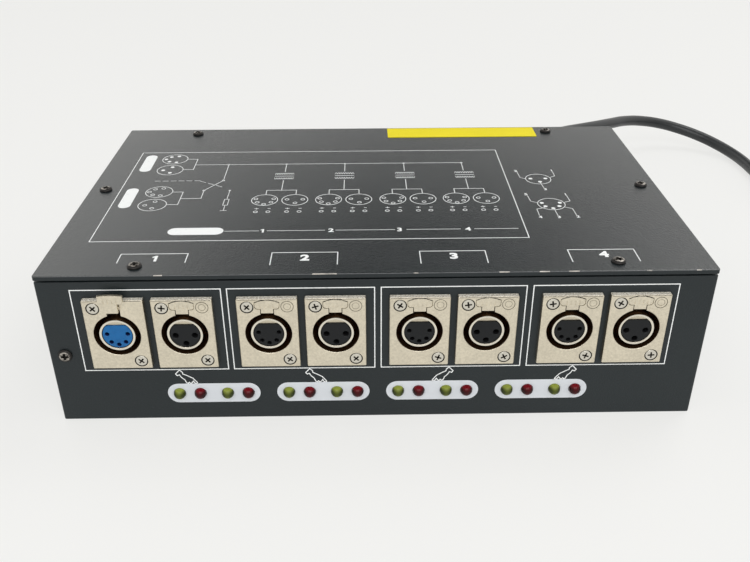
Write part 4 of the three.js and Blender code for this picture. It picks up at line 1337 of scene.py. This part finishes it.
# The two pin plans at the right, with a line from each pin to its number.
PIN_LINES = (
    ((75.7, 106.9), (76.0, 99.4), (78.6, 97.7)), ((94.5, 107.1), (94.4, 101.0), (91.1, 98.8)),
    ((85.3, 93.2), (85.9, 85.5)), ((75.9, 76.4), (76.3, 69.7), (79.5, 67.5)),
    ((95.3, 75.9), (95.6, 69.3), (92.0, 67.6)), ((81.9, 62.0), (77.7, 60.4), (77.6, 53.1)),
    ((86.1, 61.0), (86.3, 52.9)), ((91.2, 62.4), (94.9, 60.6), (95.2, 53.2)))
pin_circle(85.1, 97.2, 6.5, PINS3, True)
pin_circle(85.8, 66.0, 6.6, PINS5, True)
for points in PIN_LINES:
    draw(points, FINE)
PIN_NUMBERS = (("2", 75.2, 108.4), ("1", 94.3, 108.6), ("3", 86.3, 84.0), ("5", 75.4, 77.9),
               ("1", 95.1, 77.4), ("4", 77.8, 51.5), ("3", 86.6, 51.3), ("2", 95.6, 51.6))
for text, x, y in PIN_NUMBERS:
    top_print.append(numeral(text, x, y, 2.3, 0.03))
add("cover_print", together(*top_print), on_top(0, FRONT_Y), [ink])
print("cover strokes", len(top_print))

# %% [markdown]
# ## The strip label
# A strip of yellow film on the back edge of the cover, bare, with rounded corners.

# %% Label
film = plain_finish("yellow_film", (0.80, 0.68, 0.004), 0.45, grain=(120, 3, 0.2, 0.0003),
                    Specular_IOR_Level=0.2)
film.two_tone(film.noise(40), 0.3, 0.7, (0.78, 0.66, 0.003), (0.84, 0.72, 0.006))
LABEL_ROWS = ((0.0, 0.0), (0.0, 0.18), (0.05, 0.23))
add("label_film", stack(rounded_rows(*size_of("strip_label")[:2], 0.4, LABEL_ROWS)),
    on_top(*middle_of("strip_label")[:2]), [film], replaces="strip_label")

# %% [markdown]
# ## The back face
# Two inlets with pins, two link sockets, a slide switch and the strain relief. The photograph
# doesn't show this side, so it follows what the circuit drawing names and what such devices have.

# %% Inlets
CUP = 9.7
CUP_FLOOR = -18.0
PIN_END = -0.55
pin_metal = plain_finish("contact_pin", (0.82, 0.80, 0.74), 0.2, 1.0, grain=(900, 3, 0.08, 0.0001))


def inlet_shell():
    cup = turned([(CUP, CUP_FLOOR), (CUP, FLANGE_T - 0.3), (CUP + 0.4, FLANGE_T + 0.1),
                  (CUP + 0.4, FLANGE_T + CLEAR)], BORE_STEPS)
    back = turned([(6.5, HOUSING_END - 1), (6.5, CUP_FLOOR + 1)])
    return carved(flange_with_housing(CUP), [cup, back] + screw_sinks())


def inlet_finish(face):
    spot = face.calc_center_median()
    # Inside the inlet's cup: painted shade.
    if spot.z < 1.5 and corner_reach(face) < CUP + 0.1:
        return 1
    # Inlet flange sides: cast skin with nicks, partly a painted highlight.
    on_side = abs(spot.x) > FLANGE_W / 2 - RIM_BAND or abs(spot.y) > FLANGE_H / 2 - RIM_BAND
    return 2 if on_side else 0


def inlet_insert():
    return turned([(6.3, HOUSING_END), (6.3, CUP_FLOOR + 0.15), (CUP - 0.4, CUP_FLOOR + 0.15),
                   (CUP - 0.4, CUP_FLOOR + 3.9), (CUP - 0.65, CUP_FLOOR + 4.15)], HOUSING_STEPS)


def inlet_pins(poles):
    radius = POLE_RADIUS[poles]
    profile = [(radius, CUP_FLOOR + 3.0), (radius, -1.4), (radius * 0.85, -0.9),
               (radius * 0.45, PIN_END)]
    return together(*at_poles(profile, poles, PIN_STEPS))


inlet_shell_master = inlet_shell()
inlet_insert_master = inlet_insert()
for name in INLETS:
    add(f"{name}_casting", inlet_shell_master, places[name],
        [nickel, painted_shade_bore, rim_wear_and_highlight], inlet_finish, replaces=f"{name}_shell")
    add(f"{name}_moulding", inlet_insert_master, places[name], [black_mould],
        replaces=f"{name}_insert")
    add(f"{name}_pins", inlet_pins(poles_of[name]), places[name], [pin_metal])
print("inlet shell faces", len(inlet_shell_master.faces))

# %% Switch and strain relief
slider_wide, _, slider_tall = size_of("mode_switch_slider")
slider_deep, slider_reach = ((edge[1] - BACK_Y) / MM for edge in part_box("mode_switch_slider"))
knob = stack(rounded_rows(slider_wide, slider_tall, 0.4, (
    (0.0, slider_deep), (0.0, slider_reach - 0.2), (0.2, slider_reach))))
grooves = [slab((x - 0.25, -4, slider_reach - 0.35), (x + 0.25, 4, slider_reach + 1))
           for x in (-1.4, -0.5, 0.4, 1.3)]
add("switch_knob", carved(knob, grooves), on_back(*on_panel("mode_switch_slider")),
    [black_mould], body="mode_switch_slider", replaces="mode_switch_slider")

rubber = plain_finish("black_rubber", (0.014, 0.014, 0.015), 0.55, cloud=(300, 0.48, 0.16),
                      grain=(1600, 3, 0.2, 0.0002))
RELIEF_END = (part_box("strain_relief")[1][1] - BACK_Y) / MM
RELIEF_BASE = 3.0
RELIEF_WIDE = 7.4
RELIEF_NARROW = 5.1
RIB_START = 4.5
RIB_COUNT = 7
profile = [(9.0, -6.35), (9.0, -1.35), (6.0, -1.35), (6.0, 0.15), (8.7, 0.15), (9.0, 0.5),
           (9.0, 2.6), (8.6, RELIEF_BASE), (RELIEF_WIDE, RELIEF_BASE)]
ribbed = RELIEF_END - 2 * RIB_START
step = ribbed / RIB_COUNT
for rib in range(RIB_COUNT):
    low = RIB_START + rib * ribbed / RIB_COUNT
    narrowing = (RELIEF_NARROW - RELIEF_WIDE) * (low - RELIEF_BASE)
    wide = RELIEF_WIDE + narrowing / (RELIEF_END - RELIEF_BASE)
    profile += [(wide, low), (wide - 1.0, low + 0.3), (wide - 1.1, low + step * 0.4),
                (wide - 0.15, low + step * 0.5)]
profile += [(5.3, RELIEF_END - 3.5), (RELIEF_NARROW, RELIEF_END - 0.4), (4.7, RELIEF_END)]
relief = add("relief_sleeve", turned(profile), on_back(*relief_place), [rubber],
             replaces="strain_relief")
print("relief length", round(RELIEF_END, 2))

# %% [markdown]
# ## Plug and tie
# The lead ends in a plain moulded plug with two blades and an earth pin. A hook-and-loop strap
# holds the turns together.

# %% Plug
lead_end = coil_line[-1]
PLUG_AXES = Matrix(((0, 0, MM), (0, MM, 0), (-MM, 0, 0))).to_4x4()
plug_matrix = Matrix.Translation(Vector(lead_end) * MM) @ PLUG_AXES
NECK_LENGTH = 18.0
PLUG_BODY = 36.0
PLUG_HEIGHT = (lead_end[2] - 0.15) * 2
PLUG_WIDTH = 27.0
PLUG_START = NECK_LENGTH + 0.3
PLUG_FACE = PLUG_START + PLUG_BODY
PLUG_SHARES = ((0.0, 0.62), (0.06, 0.80), (0.16, 0.93), (0.32, 1.0), (0.9, 1.0), (0.97, 0.97),
               (1.0, 0.92))
PLUG_GRIPS = (9.0, 12.5, 16.0, 19.5)
PLUG_GRIP_DEEP = 0.8
BLADE_OFF = 6.35
EARTH_OFF = 5.5
blade_metal = plain_finish("plug_blade", (0.80, 0.78, 0.70), 0.25, 1.0, grain=(700, 3, 0.1, 0.0001))


def plug_body():
    shell = stack([(rounded(PLUG_HEIGHT * size, PLUG_WIDTH * size, 6.0 * size, 0, 8),
                    PLUG_START + share * PLUG_BODY) for share, size in PLUG_SHARES])
    grip = [slab((-20, -20, PLUG_START + along), (20, 20, PLUG_START + along + 0.9))
            for along in PLUG_GRIPS]
    core_size = (PLUG_HEIGHT - PLUG_GRIP_DEEP * 2, PLUG_WIDTH - PLUG_GRIP_DEEP * 2)
    core = prism(rounded(*core_size, 5.4, 0, 8), PLUG_START + 5.0, PLUG_START + 24.0)
    neck = turned([(4.6, 0.3), (5.1, 0.8), (5.2, 6.0), (6.4, NECK_LENGTH + 2)])
    return carved(carved(carved(shell, grip), [core], "UNION"), [neck], "UNION")


def blade(side):
    wide = shifted(rounded(6.3, 1.5, 0.3, 0, 3), 0, side * BLADE_OFF)
    tip = shifted(rounded(5.0, 0.7, 0.3, 0, 3), 0, side * BLADE_OFF)
    return stack([(wide, PLUG_FACE - 2), (wide, PLUG_FACE + 15.0), (tip, PLUG_FACE + 16.0)])


def plug_pins():
    profile = [(2.4, PLUG_FACE - 2), (2.4, PLUG_FACE + 14.5), (1.2, PLUG_FACE + 16.0)]
    return together(blade(-1), blade(1), turned(profile, HOLE_STEPS, EARTH_OFF, 0))


plug_piece = add("plug_moulding", plug_body(), plug_matrix, [rubber],
                 replaces="mains_plug")
pins_piece = add("plug_blades", plug_pins(), plug_matrix, [blade_metal])
print("plug starts at", [round(v, 1) for v in lead_end])

# %% Tie
strap = Finish("tie_strap", (0.015, 0.015, 0.016), 0.8)
strap_weave = strap.noise(1800, 2, stretch=(1, 1, 3))
strap.set("Roughness", 0.7 + strap_weave * 0.2)
strap.bump(strap_weave, 0.6, 0.0004)
TIE_ANGLE = 35
TIE_HALF = 6.0
TIE_SLACK = 0.8
TIE_ROWS = ((0.0, -TIE_HALF), (0.0, TIE_HALF), (0.7, TIE_HALF), (0.7, -TIE_HALF))


def tie_band():
    """A flat band round both layers of turns, as wide as the turns are where it sits."""
    first = (TIE_ANGLE / 360 + 0.5) % 1
    passes = [first + lap for lap in range(int(COIL_TURNS - first) + 1)]
    radii = [COIL_RADIUS - COIL_PITCH * min(turn, COIL_TURNS - turn) for turn in passes]
    inner = min(radii) - LEAD_DIAMETER / 2 - TIE_SLACK
    outer = max(radii) + LEAD_DIAMETER / 2 + TIE_SLACK
    low, high = 0.05, lead_points[-1][2] + COIL_LAYER + LEAD_DIAMETER / 2 + TIE_SLACK
    rows = rounded_rows(outer - inner, high - low, 4.0, TIE_ROWS, 8)
    return stack(rows, looped=True), (inner + outer) / 2, (low + high) / 2


band, band_x, band_z = tie_band()
coil_middle = Vector((lead_points[-1][0] + COIL_RADIUS,
                      lead_points[-1][1] - COIL_GAP - LEAD_DIAMETER, 0)) * MM
tie_matrix = (Matrix.Translation(coil_middle) @ Matrix.Rotation(math.radians(TIE_ANGLE), 4, "Z")
              @ Matrix.Translation((band_x * MM, 0, band_z * MM)) @ Matrix(UPRIGHT).to_4x4())
tie = add("lead_tie", band, tie_matrix, [strap])

# %% [markdown]
# ## Inside pieces
# The main board, the fuse, the transformer, the bracket and the body of the switch keep their CAD
# shapes and get finishes of their own.

# %% Finishes of the inside
sheets = Finish("core_sheets", (0.14, 0.14, 0.15), 0.4, 0.8)
sheets.bump(sheets.noise(300, 2, stretch=(0.05, 8, 0.05)), 0.5, 0.0003)
tape = Finish("winding_tape", (0.55, 0.34, 0.03), 0.35)
tape.bump(tape.noise(500, 2, stretch=(0.1, 0.1, 4)), 0.4, 0.0002)
zinc = plain_finish("zinc_plate", (0.55, 0.56, 0.54), 0.35, 0.9, cloud=(200, 0.3, 0.2))
glass_fuse = plain_finish("fuse_body", (0.6, 0.62, 0.6), 0.15, 0.3, cloud=(300, 0.12, 0.1))
inside = {"main_board": mask, "board_fuse": glass_fuse, "transformer_core": sheets,
          "transformer_winding": tape, "corner_bracket": zinc, "mode_switch_body": black_mould}
for node, finish in inside.items():
    data = bpy.data.objects[node].data
    data.materials.clear()
    data.materials.append(finish.material)
print("inside pieces", len(inside))

# %% [markdown]
# ## Floor and light
# A white table in a pale room: two large soft lamps hang high up, one behind on the right and one
# over the front. The room is bright low down and to both sides and dim higher up behind the table,
# which is what the cover shows back as a sheen that falls off towards its middle. Part of the
# table's white is given straight to the camera and to reflections, so that it stays even and the
# lamps can stay at a plain level, and the rest is lit and keeps the object's shadow.

# %% Floor
TABLE_WIDE = 40000
TABLE_THICK = 4.0
TABLE_WHITE = 0.9
TABLE_GLOW = 0.75
floor_mesh = prism(rounded(TABLE_WIDE, TABLE_WIDE, 5, 0, 2), -TABLE_THICK, 0.0)
floor_finish = plain_finish("pale_table", (0.80, 0.80, 0.79), 0.6, cloud=(3, 0.5, 0.1))
tree = floor_finish.tree
rays = tree.nodes.new("ShaderNodeLightPath")
camera_ray, glossy_ray, through_ray = (Wire(tree, rays.outputs[f"Is {kind} Ray"])
                                       for kind in ("Camera", "Glossy", "Transmission"))
seen = camera_ray.highest(glossy_ray).highest(through_ray)
plain = tree.nodes.new("ShaderNodeEmission")
plain.inputs["Color"].default_value = (TABLE_WHITE, TABLE_WHITE, TABLE_WHITE * 0.98, 1.0)
share = tree.nodes.new("ShaderNodeMixShader")
plug(tree, share.inputs[0], seen * TABLE_GLOW)
tree.links.new(floor_finish.shader.outputs[0], share.inputs[1])
tree.links.new(plain.outputs[0], share.inputs[2])
tree.links.new(share.outputs[0], tree.nodes["Material Output"].inputs["Surface"])
floor_data = bpy.data.meshes.new("floor")
floor_mesh.transform(Matrix.Diagonal((MM, MM, MM, 1)))
floor_mesh.to_mesh(floor_data)
floor_data.materials.append(floor_finish.material)
put("floor", floor_data)

# %% World and lamps
world = bpy.data.worlds.new("room")
scene.world = world
world.use_nodes = True
nodes, links = world.node_tree.nodes, world.node_tree.links
background = nodes["Background"]
background.inputs["Strength"].default_value = 1.0
toward = nodes.new("ShaderNodeTexCoord")
parts = nodes.new("ShaderNodeSeparateXYZ")
links.new(toward.outputs["Generated"], parts.inputs[0])
way_x, way_y, way_z = (Wire(world.node_tree, parts.outputs[axis]) for axis in "XYZ")


def smooth_step(value, low, high):
    node = nodes.new("ShaderNodeMapRange")
    node.interpolation_type = "SMOOTHSTEP"
    plug(world.node_tree, node.inputs["Value"], value)
    node.inputs["From Min"].default_value = low
    node.inputs["From Max"].default_value = high
    return Wire(world.node_tree, node.outputs[0])


ROOM_DIM = 0.01
ROOM_TINT = (1.0, 0.99, 0.965)
across = (way_x - 0.06) / 0.3
level = ROOM_DIM + smooth_step(way_z, 0.385, 0.30) * 0.9 + across * across * 0.6
level = level.maths("MINIMUM", 1.0) * (1.0 - smooth_step(way_y, 0.0, -0.7) * 0.35)
shade = nodes.new("ShaderNodeCombineColor")
for channel, tint in zip(shade.inputs, ROOM_TINT):
    plug(world.node_tree, channel, level * tint)
links.new(shade.outputs[0], background.inputs["Color"])


def soft_light(name, place, target, size, power):
    data = bpy.data.lights.new(name, "AREA")
    data.shape = "RECTANGLE"
    data.size, data.size_y = size
    data.energy = power
    lamp = put(name, data)
    lamp.location = place
    lamp.rotation_euler = (Vector(target) - Vector(place)).to_track_quat("-Z", "Y").to_euler()


soft_light("back_right_lamp", (0.9, 0.8, 1.7), (0.05, 0, 0.05), (0.9, 0.9), 8)
soft_light("front_lamp", (0.1, -1.3, 1.2), (0, 0, 0.05), (1.8, 1.2), 18)
scene.view_settings.view_transform = "Standard"
